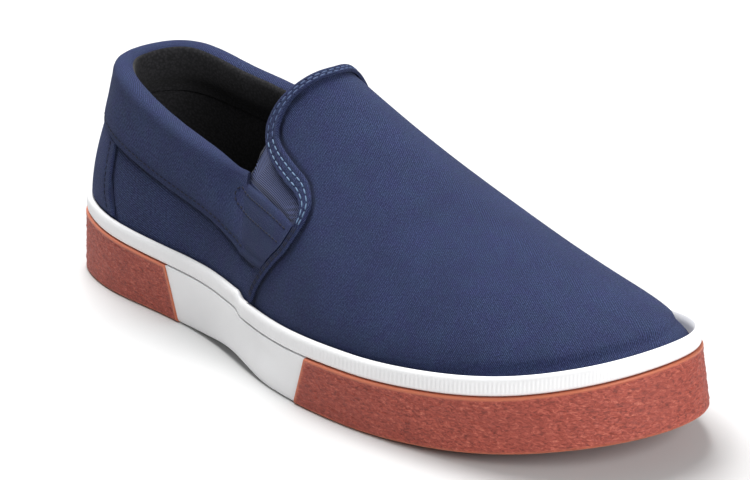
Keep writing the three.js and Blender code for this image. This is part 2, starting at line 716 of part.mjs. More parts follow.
function gorePlaces(inner, grow) {
  const STEPS = GORE_TOP.length - 1;
  const LEVELS = 7;
  const HIDDEN_EDGE = 1.2;
  const rear = (share) => {
    const round = columnAt(COLLAR_EDGE, "round", share);
    const place = sidePlace(inner, round, columnAt(COLLAR_EDGE, "rise", share));
    const { along } = lastFrame(place.round, place.up);
    return stepOnLast(place, along.normalize(), (inner ? 1 : -1) * (GORE_LAP + grow));
  };
  const front = (share) => {
    const half = THREE.MathUtils.lerp(BINDING_AT_GORE_TOP, BINDING_AT_GORE_FOOT, share);
    const at = inner ? 2 - half : half;
    const lap = Math.min(GORE_LAP, bindingWidth(at) - HIDDEN_EDGE);
    return stepOnLast(bindingEdge(at), bindingAcross(at), lap + grow);
  };
  const TOP_CUT = 0.05;
  const rows = Array.from({ length: STEPS + 1 }, (_, i) => {
    const row = Array.from({ length: LEVELS + 1 }, (_, j) =>
      mixPlaces(rear(1 - j / LEVELS), front(1 - j / LEVELS), i / STEPS),
    );
    row[LEVELS].up = GORE_TOP[i];
    if (grow > 0) {
      row[0] = stepOnLast(row[0], lastFrame(row[0].round, row[0].up).upward.normalize(), -2 * grow);
      row.push({ round: row[LEVELS].round, up: 1 + TOP_CUT });
    }
    return row;
  });
  return inner ? rows.reverse() : rows;
}

function makeGore(inner) {
  const middle = -UPPER_WALL / 2;
  return sewnPiece(
    gorePlaces(inner, 0),
    () => middle - GORE_THICKNESS / 2,
    () => middle + GORE_THICKNESS / 2,
  );
}

function goreWindow(inner) {
  const clear = 1;
  return solidOf(sewnPiece(gorePlaces(inner, GAP), () => -UPPER_WALL - clear, () => clear));
}

function makeUpper() {
  const rounds = [...stations, goreStart, 1 - goreStart].sort((a, b) => a - b);
  const rows = rounds.map((round) =>
    Array.from({ length: UPPER_LEVELS + 1 }, (_, j) => ({ round, up: j / UPPER_LEVELS })),
  );
  const shell = solidOf(sewnPiece(rows, () => -UPPER_WALL, () => 0, true));
  return geometryFrom(shell.subtract(goreWindow(false)).subtract(goreWindow(true)));
}

// Heel counter: canvas round the back of the heel, from the foxing up to the collar

function makeHeelCounter() {
  const LEVELS = 4;
  const END_MARGIN = 0.008;
  const edge = (share) => columnAt(COUNTER_EDGE, "round", share * hemLevel(0));
  const narrowest = Math.min(...COUNTER_EDGE.map((row) => row.round));
  const between = stations.filter((round) => round < narrowest - END_MARGIN).slice(1);
  const inside = [...between.map((round) => -round).reverse(), 0, ...between].map((round) => () => round);
  const rows = [(share) => -edge(share), ...inside, edge].map((roundAt) =>
    Array.from({ length: LEVELS + 1 }, (_, j) => {
      const share = j / LEVELS;
      const round = roundAt(share);
      const top = hemPlace(round).up - (3 * GAP) / HEEL_HEIGHT;
      return { round, up: THREE.MathUtils.lerp(placeAt(round, FOOT_RISE).up, top, share) };
    }),
  );
  return sewnPiece(rows, () => GAP, () => GAP + COUNTER_THICKNESS);
}

// Insole: follows the top of the cup underneath, smooth on top

function makeInsole() {
  const inset = featherInset + UPPER_WALL + INSOLE_CLEARANCE;
  const FADE = 30;
  const footbed = (x) => {
    const step = THREE.MathUtils.smoothstep(x - (FOXING_STEP_AT - 0.5) * LENGTH, -FADE, FADE);
    return sidewallTop(x) + FOXING_STEP_BELOW * (foxingStep(x) - step);
  };
  return stackedRings([
    planRing(inset, (x) => sidewallTop(x), true),
    planRing(inset, (x) => footbed(x) + INSOLE_THICKNESS - INSOLE_EDGE, true),
    planRing(inset + INSOLE_EDGE, (x) => footbed(x) + INSOLE_THICKNESS, true),
  ]);
}

const material = (color, roughness) => new THREE.MeshStandardMaterial({ color, roughness, metalness: 0 });
const gumRubber = material(0xa9523f, 0.6);
const whiteRubber = material(0xeeeeec, 0.5);
const navyCanvas = material(0x2b3460, 0.9);
const navyElastic = material(0x2a2f4c, 0.85);
const blackFoam = material(0x1b1b1d, 0.95);

const shoe = new THREE.Group();

function addPart(name, geometry, partMaterial) {
  const part = new THREE.Mesh(geometry, partMaterial);
  part.name = name;
  shoe.add(part);
}

addPart("heel_gum", makeHeelGum(), gumRubber);
addPart("toe_gum", makeToeGum(), gumRubber);
addPart("midsole", makeMidsole(), whiteRubber);
addPart("foxing", makeFoxing(), whiteRubber);
addPart("insole", makeInsole(), blackFoam);
addPart("upper", makeUpper(), navyCanvas);
addPart("gore_lateral", makeGore(false), navyElastic);
addPart("gore_medial", makeGore(true), navyElastic);
addPart("heel_counter", makeHeelCounter(), navyCanvas);
addPart("collar", makeCollar(), navyCanvas);
addPart("throat_binding", makeThroatBinding(), navyCanvas);

export default shoe;
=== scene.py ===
# Slip-on canvas sneaker, right foot: the looks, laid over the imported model.
# Sizes are in millimetres until a mesh is made, then in metres as the frame is.
import math

import bmesh
import bpy
import numpy as np
from mathutils import Matrix, Vector, noise
from mathutils.bvhtree import BVHTree
from mathutils.kdtree import KDTree


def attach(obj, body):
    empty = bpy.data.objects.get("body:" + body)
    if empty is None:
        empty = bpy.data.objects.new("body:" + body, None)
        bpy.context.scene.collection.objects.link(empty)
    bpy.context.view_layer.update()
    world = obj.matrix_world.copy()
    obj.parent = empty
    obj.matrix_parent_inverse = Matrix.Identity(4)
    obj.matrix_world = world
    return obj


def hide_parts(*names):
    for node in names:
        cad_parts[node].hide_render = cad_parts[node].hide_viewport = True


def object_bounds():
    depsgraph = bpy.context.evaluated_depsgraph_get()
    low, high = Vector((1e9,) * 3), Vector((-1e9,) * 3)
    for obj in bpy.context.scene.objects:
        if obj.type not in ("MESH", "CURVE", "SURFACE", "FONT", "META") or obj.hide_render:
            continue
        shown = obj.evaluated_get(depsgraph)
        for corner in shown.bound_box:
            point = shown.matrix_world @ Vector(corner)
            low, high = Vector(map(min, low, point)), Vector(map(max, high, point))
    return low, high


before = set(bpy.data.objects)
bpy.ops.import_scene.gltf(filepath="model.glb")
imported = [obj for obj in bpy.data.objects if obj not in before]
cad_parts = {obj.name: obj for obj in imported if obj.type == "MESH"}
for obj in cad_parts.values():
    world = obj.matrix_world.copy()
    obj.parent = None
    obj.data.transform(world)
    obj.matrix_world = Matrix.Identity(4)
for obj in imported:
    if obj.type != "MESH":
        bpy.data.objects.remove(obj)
cad_low, cad_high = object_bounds()

# Camera
# It stands where the photographer stood, a little above the toe on the outer side, and is turned
# and zoomed so that the one shoe fills the picture.
CAMERA_PLACE = Vector((0.4811, -0.4781, 0.2951))
CAMERA_TARGET = Vector((0.0062, 0.0038, 0.0432))
CAMERA_LENS = 92.0

camera = bpy.data.objects.new("camera", bpy.data.cameras.new("camera"))
bpy.context.collection.objects.link(camera)
camera.data.lens = CAMERA_LENS
camera.data.clip_start = 0.02
camera.data.clip_end = 30
camera.location = CAMERA_PLACE
camera.rotation_mode = "QUATERNION"
camera.rotation_quaternion = (CAMERA_TARGET - CAMERA_PLACE).to_track_quat("-Z", "Y")
bpy.context.scene.camera = camera

# Gum rubber heel and toe pieces
# Compression moulded crepe-grained rubber, wrapped round the ends of the cup and glued to it. Each
# has a wall, a tread with grooves, and a plain raised border round its grained field.
LENGTH = (cad_high.x - cad_low.x) * 1000
BALL_WIDTH = (cad_high.y - cad_low.y) * 1000
# Half widths from heel to toe, as shares of the ball's width
LATERAL = np.array([
    0.013, 0.165, 0.255, 0.305, 0.316, 0.362, 0.462, 0.5, 0.471, 0.396, 0.262, 0.093, -0.089])
MEDIAL = np.array([
    -0.006, 0.152, 0.269, 0.332, 0.332, 0.298, 0.337, 0.451, 0.5, 0.465, 0.368, 0.24, 0.087])
# At these shares of the length: the tread's lift, and the side wall's height and lean
SIDE_AT = [0, 0.03, 0.14, 0.27, 0.34, 0.42, 0.52, 0.66, 0.76, 0.86, 0.94, 1]
SIDE_SPRING = [0.12, 0, 0, 0, 0, 0, 0, 0, 0.12, 0.4, 0.73, 1]
SIDE_ARCH = [0, 0, 0, 0, 0.3, 1, 0, 0, 0, 0, 0, 0]
SIDE_WALL = [1.28, 1.25, 1.12, 1.03, 1.03, 1.01, 1.005, 1.05, 1.07, 1.09, 1.15, 1.24]
SIDE_LEAN = [1.6, 1.3, 1, 1, 1, 1, 1, 1, 1, 1.2, 2, 4.4]
SIDEWALL_HEIGHT = 21
SIDEWALL_LEAN = 1
EDGE_RADIUS = 1.6
TOE_SPRING = 14
ARCH_RISE = 3
GUM_WALL = 4
GUM_TREAD = 5
GUM_PROUD = 0.6
HEEL_GUM_FRONT = (0.284 - 0.5) * LENGTH
TOE_GUM_REAR = (0.5735 - 0.5) * LENGTH
HEEL_GUM_SLANT = 9.1
TOE_GUM_SLANT = 5.7
FOXING_STEP_X = (0.427 - 0.5) * LENGTH
FOXING_STEP_LENGTH = 5
FOXING_STEP_BELOW = 2.2
GAP = 0.3
BORDER_WIDTH = 0.9
BORDER_PROUD = 0.25
GRAIN_DEPTH = 0.16
GROOVE_WIDTH = 2.6
GROOVE_DEPTH = 1.8
GROOVE_PITCH = 11


def smoothstep(value, low, high):
    share = np.clip((value - low) / (high - low), 0, 1)
    return share * share * (3 - 2 * share)


def table_curve(places, values):
    """Smooth curve through a table whose rows stand at uneven places; level stretches stay level."""
    x, y = np.array(places, float), np.array(values, float)
    span = np.diff(x)
    secant = np.diff(y) / span
    slope = np.concatenate([secant[:1], secant])
    before, after = secant[:-1], secant[1:]
    blend = np.abs(before * span[1:] + after * span[:-1]) / (span[:-1] + span[1:]) / 2
    least = np.minimum(np.minimum(np.abs(before), np.abs(after)), blend)
    slope[1:-1] = (np.sign(before) + np.sign(after)) * least

    def value(at):
        i = np.clip(np.searchsorted(x, at) - 1, 0, len(x) - 2)
        u = np.clip((at - x[i]) / span[i], 0, 1)
        rise = y[i + 1] - y[i]
        bend = (1 - u) * (slope[i] * span[i] - rise) - u * (slope[i + 1] * span[i] - rise)
        return y[i] + u * rise + u * (1 - u) * bend

    return value


def closed_curve(values):
    """Smooth closed curve through evenly spaced values, as a function of turns round it."""
    y = np.array(values, float)
    count = len(y)
    one = np.eye(count)
    system = 4 * one + np.roll(one, 1, 1) + np.roll(one, -1, 1)
    slope = np.linalg.solve(system, 3 * (np.roll(y, -1) - np.roll(y, 1)))

    def value(turns):
        place = (turns - np.floor(turns)) * count
        i = np.floor(place).astype(int) % count
        u = place - np.floor(place)
        after = (i + 1) % count
        rise = y[after] - y[i]
        bend = (1 - u) * (slope[i] - rise) - u * (slope[after] - rise)
        return y[i] + u * rise + u * (1 - u) * bend

    return value


def whole_turn(lateral, medial):
    """A half table from heel to toe made into a whole turn: outer side first, back by the inner."""
    return closed_curve([*lateral, *list(medial)[-2:0:-1]])


sole_side = whole_turn(-LATERAL * BALL_WIDTH, MEDIAL * BALL_WIDTH)
spring_at = table_curve(SIDE_AT, SIDE_SPRING)
arch_at = table_curve(SIDE_AT, SIDE_ARCH)
wall_at = table_curve(SIDE_AT, SIDE_WALL)
lean_at = table_curve(SIDE_AT, SIDE_LEAN)


def share_of_length(x):
    return np.clip(x / LENGTH + 0.5, 0, 1)


def sole_plan(turns):
    return np.stack([-np.cos(2 * np.pi * turns) * LENGTH / 2, sole_side(turns)], -1)


def plan_inset(turns, inset, leaning=0.0):
    """Point of the sole's plan, drawn in by an inset and by a share of the side wall's lean."""
    tangent = sole_plan(turns + 0.002) - sole_plan(turns - 0.002)
    tangent /= np.linalg.norm(tangent, axis=-1, keepdims=True)
    outward = np.stack([tangent[..., 1], -tangent[..., 0]], -1)
    point = sole_plan(turns)
    lean = leaning * SIDEWALL_LEAN * lean_at(share_of_length(point[..., 0]))
    return point - outward * (inset + lean)[..., None]


def tread_height(x):
    """Height of the sole's underside over the floor."""
    at = share_of_length(x)
    return TOE_SPRING * spring_at(at) + ARCH_RISE * arch_at(at)


def foxing_step(x):
    return smoothstep(x - FOXING_STEP_X, 0, FOXING_STEP_LENGTH)


def sidewall_top(x):
    at = share_of_length(x)
    lift = SIDEWALL_HEIGHT * wall_at(at) + TOE_SPRING * spring_at(at)
    return lift - FOXING_STEP_BELOW * foxing_step(x)


def laid_grid(columns, rows, place, closed=(False, False), uv=None, inside=None, mark=None):
    """Sheet of square faces laid at place(i, j), where i and j run from 0 to 1 over the sheet.

    closed says which way round its ends are joined, uv(i, j) gives its own pattern in millimetres,
    faces where inside(i, j) is true take the second material, and mark(i, j, points) gives a share
    that materials read as the attribute "mark"."""
    mesh = bmesh.new()
    bmesh.ops.create_grid(mesh, x_segments=columns, y_segments=rows, size=1)
    shares = np.array([vertex.co[:2] for vertex in mesh.verts]) * 0.5 + 0.5
    points = place(shares[:, 0], shares[:, 1]) / 1000
    if uv is not None:
        pattern = uv(shares[:, 0], shares[:, 1])
        layer = mesh.loops.layers.uv.new("pattern")
        for face in mesh.faces:
            for loop in face.loops:
                loop[layer].uv = pattern[loop.vert.index]
    if mark is not None:
        layer = mesh.verts.layers.float.new("mark")
        for vertex, share in zip(mesh.verts, mark(shares[:, 0], shares[:, 1], points * 1000)):
            vertex[layer] = share
    if inside is not None:
        for face in mesh.faces:
            middle = shares[[vertex.index for vertex in face.verts]].mean(0)
            face.material_index = int(inside(middle[0], middle[1]))
    for vertex, point in zip(mesh.verts, points):
        vertex.co = point
    if any(closed):
        bmesh.ops.remove_doubles(mesh, verts=mesh.verts, dist=2e-6)
    return mesh


def close_ends(mesh):
    """Fills every open edge loop, so that the piece is a solid."""
    open_edges = [edge for edge in mesh.edges if edge.is_boundary]
    bmesh.ops.holes_fill(mesh, edges=open_edges, sides=0)
    bmesh.ops.recalc_face_normals(mesh, faces=mesh.faces)


def made_piece(name, mesh, materials, sharp=35, close=True):
    """Object from a bmesh, smooth but for edges sharper than an angle, riding with the shoe."""
    if close:
        close_ends(mesh)
    data = bpy.data.meshes.new(name)
    mesh.to_mesh(data)
    mesh.free()
    piece = bpy.data.objects.new(name, data)
    bpy.context.collection.objects.link(piece)
    for material in materials:
        data.materials.append(material)
    data.shade_smooth()
    data.set_sharp_from_angle(angle=math.radians(sharp))
    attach(piece, "root")
    return piece


def settle(piece):
    """Applies the modifiers of a piece to its mesh."""
    depsgraph = bpy.context.evaluated_depsgraph_get()
    done = bpy.data.meshes.new_from_object(piece.evaluated_get(depsgraph))
    piece.modifiers.clear()
    piece.data = done


def join_or_cut(piece, other, operation):
    """Joins another solid to a piece, or cuts it out, and takes the other away."""
    change = piece.modifiers.new(operation.lower(), "BOOLEAN")
    change.operation = operation
    change.solver = "EXACT"
    change.object = other
    settle(piece)
    bpy.data.objects.remove(other)


def linear(hex_colour):
    """Linear colour of an sRGB hex value."""
    channels = [int(hex_colour[i : i + 2], 16) / 255 for i in (1, 3, 5)]
    return [c / 12.92 if c <= 0.04045 else ((c + 0.055) / 1.055) ** 2.4 for c in channels] + [1]


def new_material(name):
    """Material with its shader, as (material, tree, shader)."""
    material = bpy.data.materials.new(name)
    material.use_nodes = True
    return material, material.node_tree, material.node_tree.nodes["Principled BSDF"]


def add_node(tree, kind, values=None, links=None, **settings):
    """Adds a node: settings are its own, values and links are by socket name or number."""
    made = tree.nodes.new(kind)
    for name, value in settings.items():
        setattr(made, name, value)
    for socket, value in (values or {}).items():
        made.inputs[socket].default_value = value
    for socket, output in (links or {}).items():
        tree.links.new(output, made.inputs[socket])
    return made


def colour_ramp(tree, factor, stops):
    """Colour ramp over a factor, from stops of place and hex colour."""
    ramp = add_node(tree, "ShaderNodeValToRGB", links={"Fac": factor})
    elements = ramp.color_ramp.elements
    while len(elements) < len(stops):
        elements.new(0.5)
    for element, (place, hex_colour) in zip(elements, stops):
        element.position = place
        element.color = linear(hex_colour)
    return ramp.outputs["Color"]


# Crepe gum: natural rubber with a crinkled grain, painted dark in its hollows as painted shade, and
# smoother and paler on its raised border, whose paler colour is also a painted highlight along its
# edges. The grain is drawn about 1 mm wide, a little coarser than it is, so that it shows. Scales of
# noise are cells to the metre.
gum, tree, shader = new_material("crepe_gum_rubber")
where = add_node(tree, "ShaderNodeTexCoord").outputs["Object"]
stretched = add_node(tree, "ShaderNodeMapping", {"Scale": (0.62, 0.62, 1.4)}, {"Vector": where})
wrinkle = add_node(
    tree, "ShaderNodeTexNoise", {"Scale": 900, "Detail": 5, "Roughness": 0.62, "Distortion": 0.9},
    {"Vector": stretched.outputs[0]})
pits = add_node(
    tree, "ShaderNodeTexVoronoi", {"Scale": 1000}, {"Vector": stretched.outputs[0]}, feature="F1")
grain = add_node(
    tree, "ShaderNodeMath", {}, {0: wrinkle.outputs[0], 1: pits.outputs["Distance"]},
    operation="MULTIPLY")
border = add_node(tree, "ShaderNodeAttribute", attribute_name="mark")
# Painted shade: the grain's colour follows its wrinkles, dark where they sink into hollows.
grain_colour_with_painted_shade = colour_ramp(
    tree, wrinkle.outputs[0],
    [(0.33, "#6a2820"), (0.46, "#9a4234"), (0.58, "#b35444"), (0.7, "#d27a64")])
patches = add_node(tree, "ShaderNodeTexNoise", {"Scale": 45, "Detail": 3}, {"Vector": where})
patch_share = add_node(
    tree, "ShaderNodeMapRange", {"From Min": 0.35, "From Max": 0.7, "To Max": 0.35},
    {"Value": patches.outputs[0]})
patch_mix = add_node(
    tree, "ShaderNodeMix", {7: linear("#96453a")},
    {"Factor": patch_share.outputs[0], 6: grain_colour_with_painted_shade}, data_type="RGBA")
# The border's own paler, smoother rubber, and a painted highlight along its edges.
rim_colour_with_painted_highlight = add_node(
    tree, "ShaderNodeMix", {7: linear("#c87050")},
    {"Factor": border.outputs["Fac"], 6: patch_mix.outputs[2]}, data_type="RGBA")
tree.links.new(rim_colour_with_painted_highlight.outputs[2], shader.inputs["Base Color"])
rough = add_node(
    tree, "ShaderNodeMapRange", {"To Min": 0.62, "To Max": 0.45}, {"Value": border.outputs["Fac"]})
tree.links.new(rough.outputs[0], shader.inputs["Roughness"])
depth = add_node(
    tree, "ShaderNodeMapRange", {"To Min": 0.9, "To Max": 0.15}, {"Value": border.outputs["Fac"]})
bump = add_node(
    tree, "ShaderNodeBump", {"Distance": 0.0005},
    {"Height": grain.outputs[0], "Strength": depth.outputs[0]})
tree.links.new(bump.outputs[0], shader.inputs["Normal"])
shader.inputs["IOR"].default_value = 1.52
shader.inputs["Subsurface Weight"].default_value = 0.04
shader.inputs["Subsurface Radius"].default_value = (0.002, 0.0008, 0.0005)


def ring_point(turns, inset, level, lift):
    """Point of the cup's surface: level runs from the tread to the top of the side wall."""
    plan = plan_inset(turns, inset, np.clip(level, 0, 1))
    low = tread_height(plan[..., 0])
    high = sidewall_top(plan[..., 0]) - GAP
    return np.stack([plan[..., 0], plan[..., 1], low + (high - low) * level + lift], -1)


def to_centre(turns, inset, lift, share, level=0.0):
    """The same, drawn in towards the middle line of the sole by a share."""
    one = ring_point(turns, inset, level + 0 * turns, lift)
    other = ring_point(1 - turns, inset, level + 0 * turns, lift)
    return one + (0.5 * (one + other) - one) * share[..., None]


def through(rings, at):
    """Value between listed rings, at running from 0 to 1 over the list."""
    place = at * (len(rings) - 1)
    low = np.clip(np.floor(place).astype(int), 0, len(rings) - 2)
    rings = np.array(rings, float)
    return rings[low] + (rings[low + 1] - rings[low]) * (place - low)[:, None]


CORNER = [math.radians(a) for a in (0, 22.5, 45, 67.5, 90)]
FIELD_RINGS = 44


def gum_rings():
    """Rings of a gum piece from its inner floor, up, over its top, down its face and underneath:
    inset, level, lift, share towards the middle, and 1 on the face."""
    rings = [(GUM_WALL + EDGE_RADIUS, 0, GUM_TREAD, share, 0) for share in (1, 0.66, 0.33, 0)]
    rings += [
        (GUM_WALL, 0, GUM_TREAD + EDGE_RADIUS, 0, 0), (GUM_WALL, 0.5, 0, 0, 0),
        (GUM_WALL, 1, 0, 0, 0)]
    rings += [(0.5 - 0.5 * math.sin(a), 1, 0.5 * math.cos(a) - 0.5, 0, 1) for a in CORNER]
    for k in range(1, FIELD_RINGS):
        down = k / FIELD_RINGS
        rings.append((0, 1 - down, -0.5 * (1 - down) + EDGE_RADIUS * down, 0, 1))
    rings += [
        (EDGE_RADIUS * (1 - math.cos(a)), 0, EDGE_RADIUS * (1 - math.sin(a)), 0, 1) for a in CORNER]
    rings += [(EDGE_RADIUS, 0, 0, share, 0) for share in (0.12, 0.35, 0.6, 0.85, 1)]
    return rings


def gum_piece(name, middle, reach, columns, end_x, end_normal):
    """Gum piece round one end of the sole, cut off by a slanted plane, with a grained field."""
    rings = gum_rings()
    normal = np.array(end_normal) / np.linalg.norm(end_normal)
    border = []

    def place(i, j):
        turns = middle + (i * 2 - 1) * reach
        inset, level, lift, share, face = through(rings, j).T
        point = to_centre(turns, inset, lift, share, level)
        from_end = -(point - np.array([end_x, 0, 0])) @ normal
        top = sidewall_top(point[:, 0]) - GAP
        low = tread_height(point[:, 0])
        edge = np.minimum(np.minimum(top - point[:, 2], point[:, 2] - low), from_end)
        field = smoothstep(edge, BORDER_WIDTH, BORDER_WIDTH + 0.7) * (face > 0.5)
        crinkle = np.array([
            noise.fractal(Vector((p[0] * 0.42, p[1] * 0.42, p[2] * 0.95)), 0.7, 2.1, 4) for p in point])
        sink = field * (BORDER_PROUD - GRAIN_DEPTH * crinkle * 2)
        # Share of the plain border, which the gum material paints paler, partly as a painted highlight
        # along its edges.
        border.append((face > 0.5) * (1 - smoothstep(edge, BORDER_WIDTH * 0.4, BORDER_WIDTH + 0.4)))
        return to_centre(turns, inset + sink, lift, share, level)

    mesh = laid_grid(columns, len(rings) - 1, place, mark=lambda i, j, points: border[-1])
    bmesh.ops.remove_doubles(mesh, verts=mesh.verts, dist=2e-6)
    bmesh.ops.bisect_plane(
        mesh, geom=mesh.verts[:] + mesh.edges[:] + mesh.faces[:], dist=1e-7,
        plane_co=(end_x / 1000, 0, 0), plane_no=normal, clear_outer=True)
    piece = made_piece(name, mesh, [gum], sharp=40)
    return piece


def tread_grooves(name, first, last):
    """Bars that cut the grooves across the tread, well inside its rim."""
    mesh = bmesh.new()
    x = first
    while x <= last:
        roof = float(tread_height(np.array(x))) + GROOVE_DEPTH
        rim = EDGE_RADIUS + GUM_WALL
        turns = np.arccos(-2 * x / LENGTH) / (2 * math.pi)
        low = float(plan_inset(np.array(turns), np.array(rim))[1])
        high = float(plan_inset(np.array(1 - turns), np.array(rim))[1])
        size = Vector((GROOVE_WIDTH, high - low, roof + GROOVE_DEPTH)) / 1000
        centre = Vector((x, (high + low) / 2, (roof - GROOVE_DEPTH) / 2)) / 1000
        bmesh.ops.create_cube(mesh, size=1, matrix=Matrix.LocRotScale(centre, None, size))
        x += GROOVE_PITCH
    return made_piece(name, mesh, [gum], close=False)


heel_gum = gum_piece(
    "heel_gum_looks", 0, 0.2, 300, HEEL_GUM_FRONT, (SIDEWALL_HEIGHT, 0, HEEL_GUM_SLANT))
heel_grooves = tread_grooves(
    "grooves", -LENGTH / 2 + 2 * GROOVE_PITCH, HEEL_GUM_FRONT - GROOVE_PITCH)
join_or_cut(heel_gum, heel_grooves, "DIFFERENCE")
toe_gum = gum_piece(
    "toe_gum_looks", 0.5, 0.243, 460, TOE_GUM_REAR, (-SIDEWALL_HEIGHT, 0, TOE_GUM_SLANT))
toe_grooves = tread_grooves(
    "grooves", TOE_GUM_REAR + GROOVE_PITCH, LENGTH / 2 - 2 * GROOVE_PITCH)
join_or_cut(toe_gum, toe_grooves, "DIFFERENCE")
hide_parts("heel_gum")
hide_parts("toe_gum")

# Midsole
# The white cup, one smooth injection moulding of vulcanised rubber. Its sides show only between
# the gum pieces; fore and aft of that it runs on inside them as a narrower core.

# Smooth white rubber: a satin skin, faintly clouded, that lets a little light in at its edges
white_rubber, tree, shader = new_material("smooth_white_rubber")
where = add_node(tree, "ShaderNodeTexCoord").outputs["Object"]
cloud = add_node(
    tree, "ShaderNodeTexNoise", {"Scale": 30, "Detail": 4, "Roughness": 0.5}, {"Vector": where})
tint = colour_ramp(tree, cloud.outputs[0], [(0.3, "#eeeeef"), (0.7, "#f6f6f7")])
tree.links.new(tint, shader.inputs["Base Color"])
skin = add_node(tree, "ShaderNodeTexNoise", {"Scale": 900, "Detail": 3}, {"Vector": where})
bump = add_node(
    tree, "ShaderNodeBump", {"Strength": 0.12, "Distance": 0.0002}, {"Height": skin.outputs[0]})
tree.links.new(bump.outputs[0], shader.inputs["Normal"])
shader.inputs["Roughness"].default_value = 0.42
shader.inputs["IOR"].default_value = 1.5
shader.inputs["Subsurface Weight"].default_value = 0.08
shader.inputs["Subsurface Radius"].default_value = (0.002, 0.002, 0.002)

# A shallow hollow in each side, between the gum pieces
DENT_X = 2
DENT_REACH = 16
DENT_LEVEL = 0.62
DENT_SPREAD = 0.3
DENT_DEPTH = 0.7


def cup_solid(name, inset, floor_lift, columns):
    """Solid with the cup's outline, drawn in by an inset and with its floor lifted."""
    rings = [(inset + EDGE_RADIUS, 0, floor_lift, share) for share in (1, 0.6, 0.3, 0)]
    rings += [
        (inset + EDGE_RADIUS * (1 - math.cos(a)), 0, floor_lift + EDGE_RADIUS * (1 - math.sin(a)), 0)
        for a in reversed(CORNER)][1:]
    rings += [(inset, k / 12, (floor_lift + EDGE_RADIUS) * (1 - k / 12), 0) for k in range(1, 13)]
    rings += [(inset + EDGE_RADIUS, 1, 0, share) for share in (0, 0.3, 0.6, 1)]

    def place(i, j):
        own_inset, level, lift, share = through(rings, j).T
        point = to_centre(i, own_inset, lift, share, level)
        dent = np.exp(
            -(((point[:, 0] - DENT_X) / DENT_REACH) ** 2) - ((level - DENT_LEVEL) / DENT_SPREAD) ** 2)
        return to_centre(i, own_inset + DENT_DEPTH * dent * (share == 0), lift, share, level)

    mesh = laid_grid(columns, len(rings) - 1, place, closed=(True, False))
    bmesh.ops.recalc_face_normals(mesh, faces=mesh.faces)
    return made_piece(name, mesh, [white_rubber])


midsole = cup_solid("midsole_looks", GUM_PROUD, 0, 360)
middle = bmesh.new()
middle.from_mesh(midsole.data)
for end_x, normal in (
    (HEEL_GUM_FRONT + GAP, (-SIDEWALL_HEIGHT, 0, -HEEL_GUM_SLANT)),
    (TOE_GUM_REAR - GAP, (SIDEWALL_HEIGHT, 0, -TOE_GUM_SLANT)),
):
    bmesh.ops.bisect_plane(
        middle, geom=middle.verts[:] + middle.edges[:] + middle.faces[:], dist=1e-7,
        plane_co=(end_x / 1000, 0, 0), plane_no=normal, clear_outer=True)
close_ends(middle)
middle.to_mesh(midsole.data)
middle.free()
midsole.data.shade_smooth()
join_or_cut(midsole, cup_solid("core", GUM_WALL + GAP, GUM_TREAD + GAP, 144), "UNION")
midsole.data.set_sharp_from_angle(angle=math.radians(35))
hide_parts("midsole")

# Foxing
# A white rubber tape wrapped round the join of sole and canvas, rolled with fine upright ribs. Its
# front length starts at a small step on each side, where the tape is lapped.
FOXING_HEIGHT = 6.8
FOXING_THICKNESS = 2.6
FOXING_STEP_ABOVE = 2
RIB_COUNT = 470
RIB_DEPTH = 0.11


def foxing_top(x):
    heightening = (FOXING_STEP_BELOW - FOXING_STEP_ABOVE) * foxing_step(x)
    return sidewall_top(x) + FOXING_HEIGHT + heightening


# Its section: share from its face to its back, and share of its height
foxing_rings = [
    (1, 0.03), (0.55, 0.0), (0.3, 0.015), (0.14, 0.06), (0.04, 0.13), (0, 0.24), (0, 0.4),
    (0, 0.55), (0.01, 0.68), (0.07, 0.8), (0.18, 0.9), (0.33, 0.965), (0.55, 1.0), (0.8, 0.98),
    (1, 0.94), (1, 0.5), (1, 0.03)]


def foxing_place(i, j):
    across, level = through(foxing_rings, j).T
    ribbed = smoothstep(level, 0.08, 0.2) * (1 - smoothstep(level, 0.7, 0.85)) * (across < 0.9)
    rib = RIB_DEPTH * (0.5 + 0.5 * np.cos(2 * np.pi * RIB_COUNT * i)) * ribbed
    inset = GUM_PROUD + FOXING_THICKNESS * across + rib
    plan = plan_inset(i, inset, 1.0)
    low = sidewall_top(plan[..., 0])
    high = foxing_top(plan[..., 0])
    return np.stack([plan[..., 0], plan[..., 1], low + (high - low) * level], -1)


foxing_mesh = laid_grid(RIB_COUNT * 5, len(foxing_rings) - 1, foxing_place, (True, True))
foxing = made_piece("foxing_looks", foxing_mesh, [white_rubber], 60)
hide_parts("foxing")

# Insole
# Black knit over a thin foam sheet, cut to the last and laid loose in the cup. The knit is looped,
# so it gives a soft even speckle.
INSOLE_THICKNESS = 4
INSOLE_EDGE = 1.2
UPPER_WALL = 2
FEATHER_INSET = GUM_PROUD + FOXING_THICKNESS + 2 * GAP
INSOLE_INSET = FEATHER_INSET + UPPER_WALL + 0.7

# Knit: matt, its loops a little lighter than the gaps; drawn about 1 mm wide, coarser than it is
lining, tree, shader = new_material("black_knit_lining")
where = add_node(tree, "ShaderNodeTexCoord").outputs["Object"]
loops = add_node(tree, "ShaderNodeTexVoronoi", {"Scale": 900}, {"Vector": where}, feature="F1")
knit = colour_ramp(tree, loops.outputs["Distance"], [(0.1, "#38373a"), (0.7, "#262628")])
tree.links.new(knit, shader.inputs["Base Color"])
bump = add_node(
    tree, "ShaderNodeBump", {"Strength": 0.35, "Distance": 0.0003},
    {"Height": loops.outputs["Distance"]}, invert=True)
tree.links.new(bump.outputs[0], shader.inputs["Normal"])
shader.inputs["Roughness"].default_value = 0.95
shader.inputs["Sheen Weight"].default_value = 0.08
shader.inputs["Specular IOR Level"].default_value = 0.2


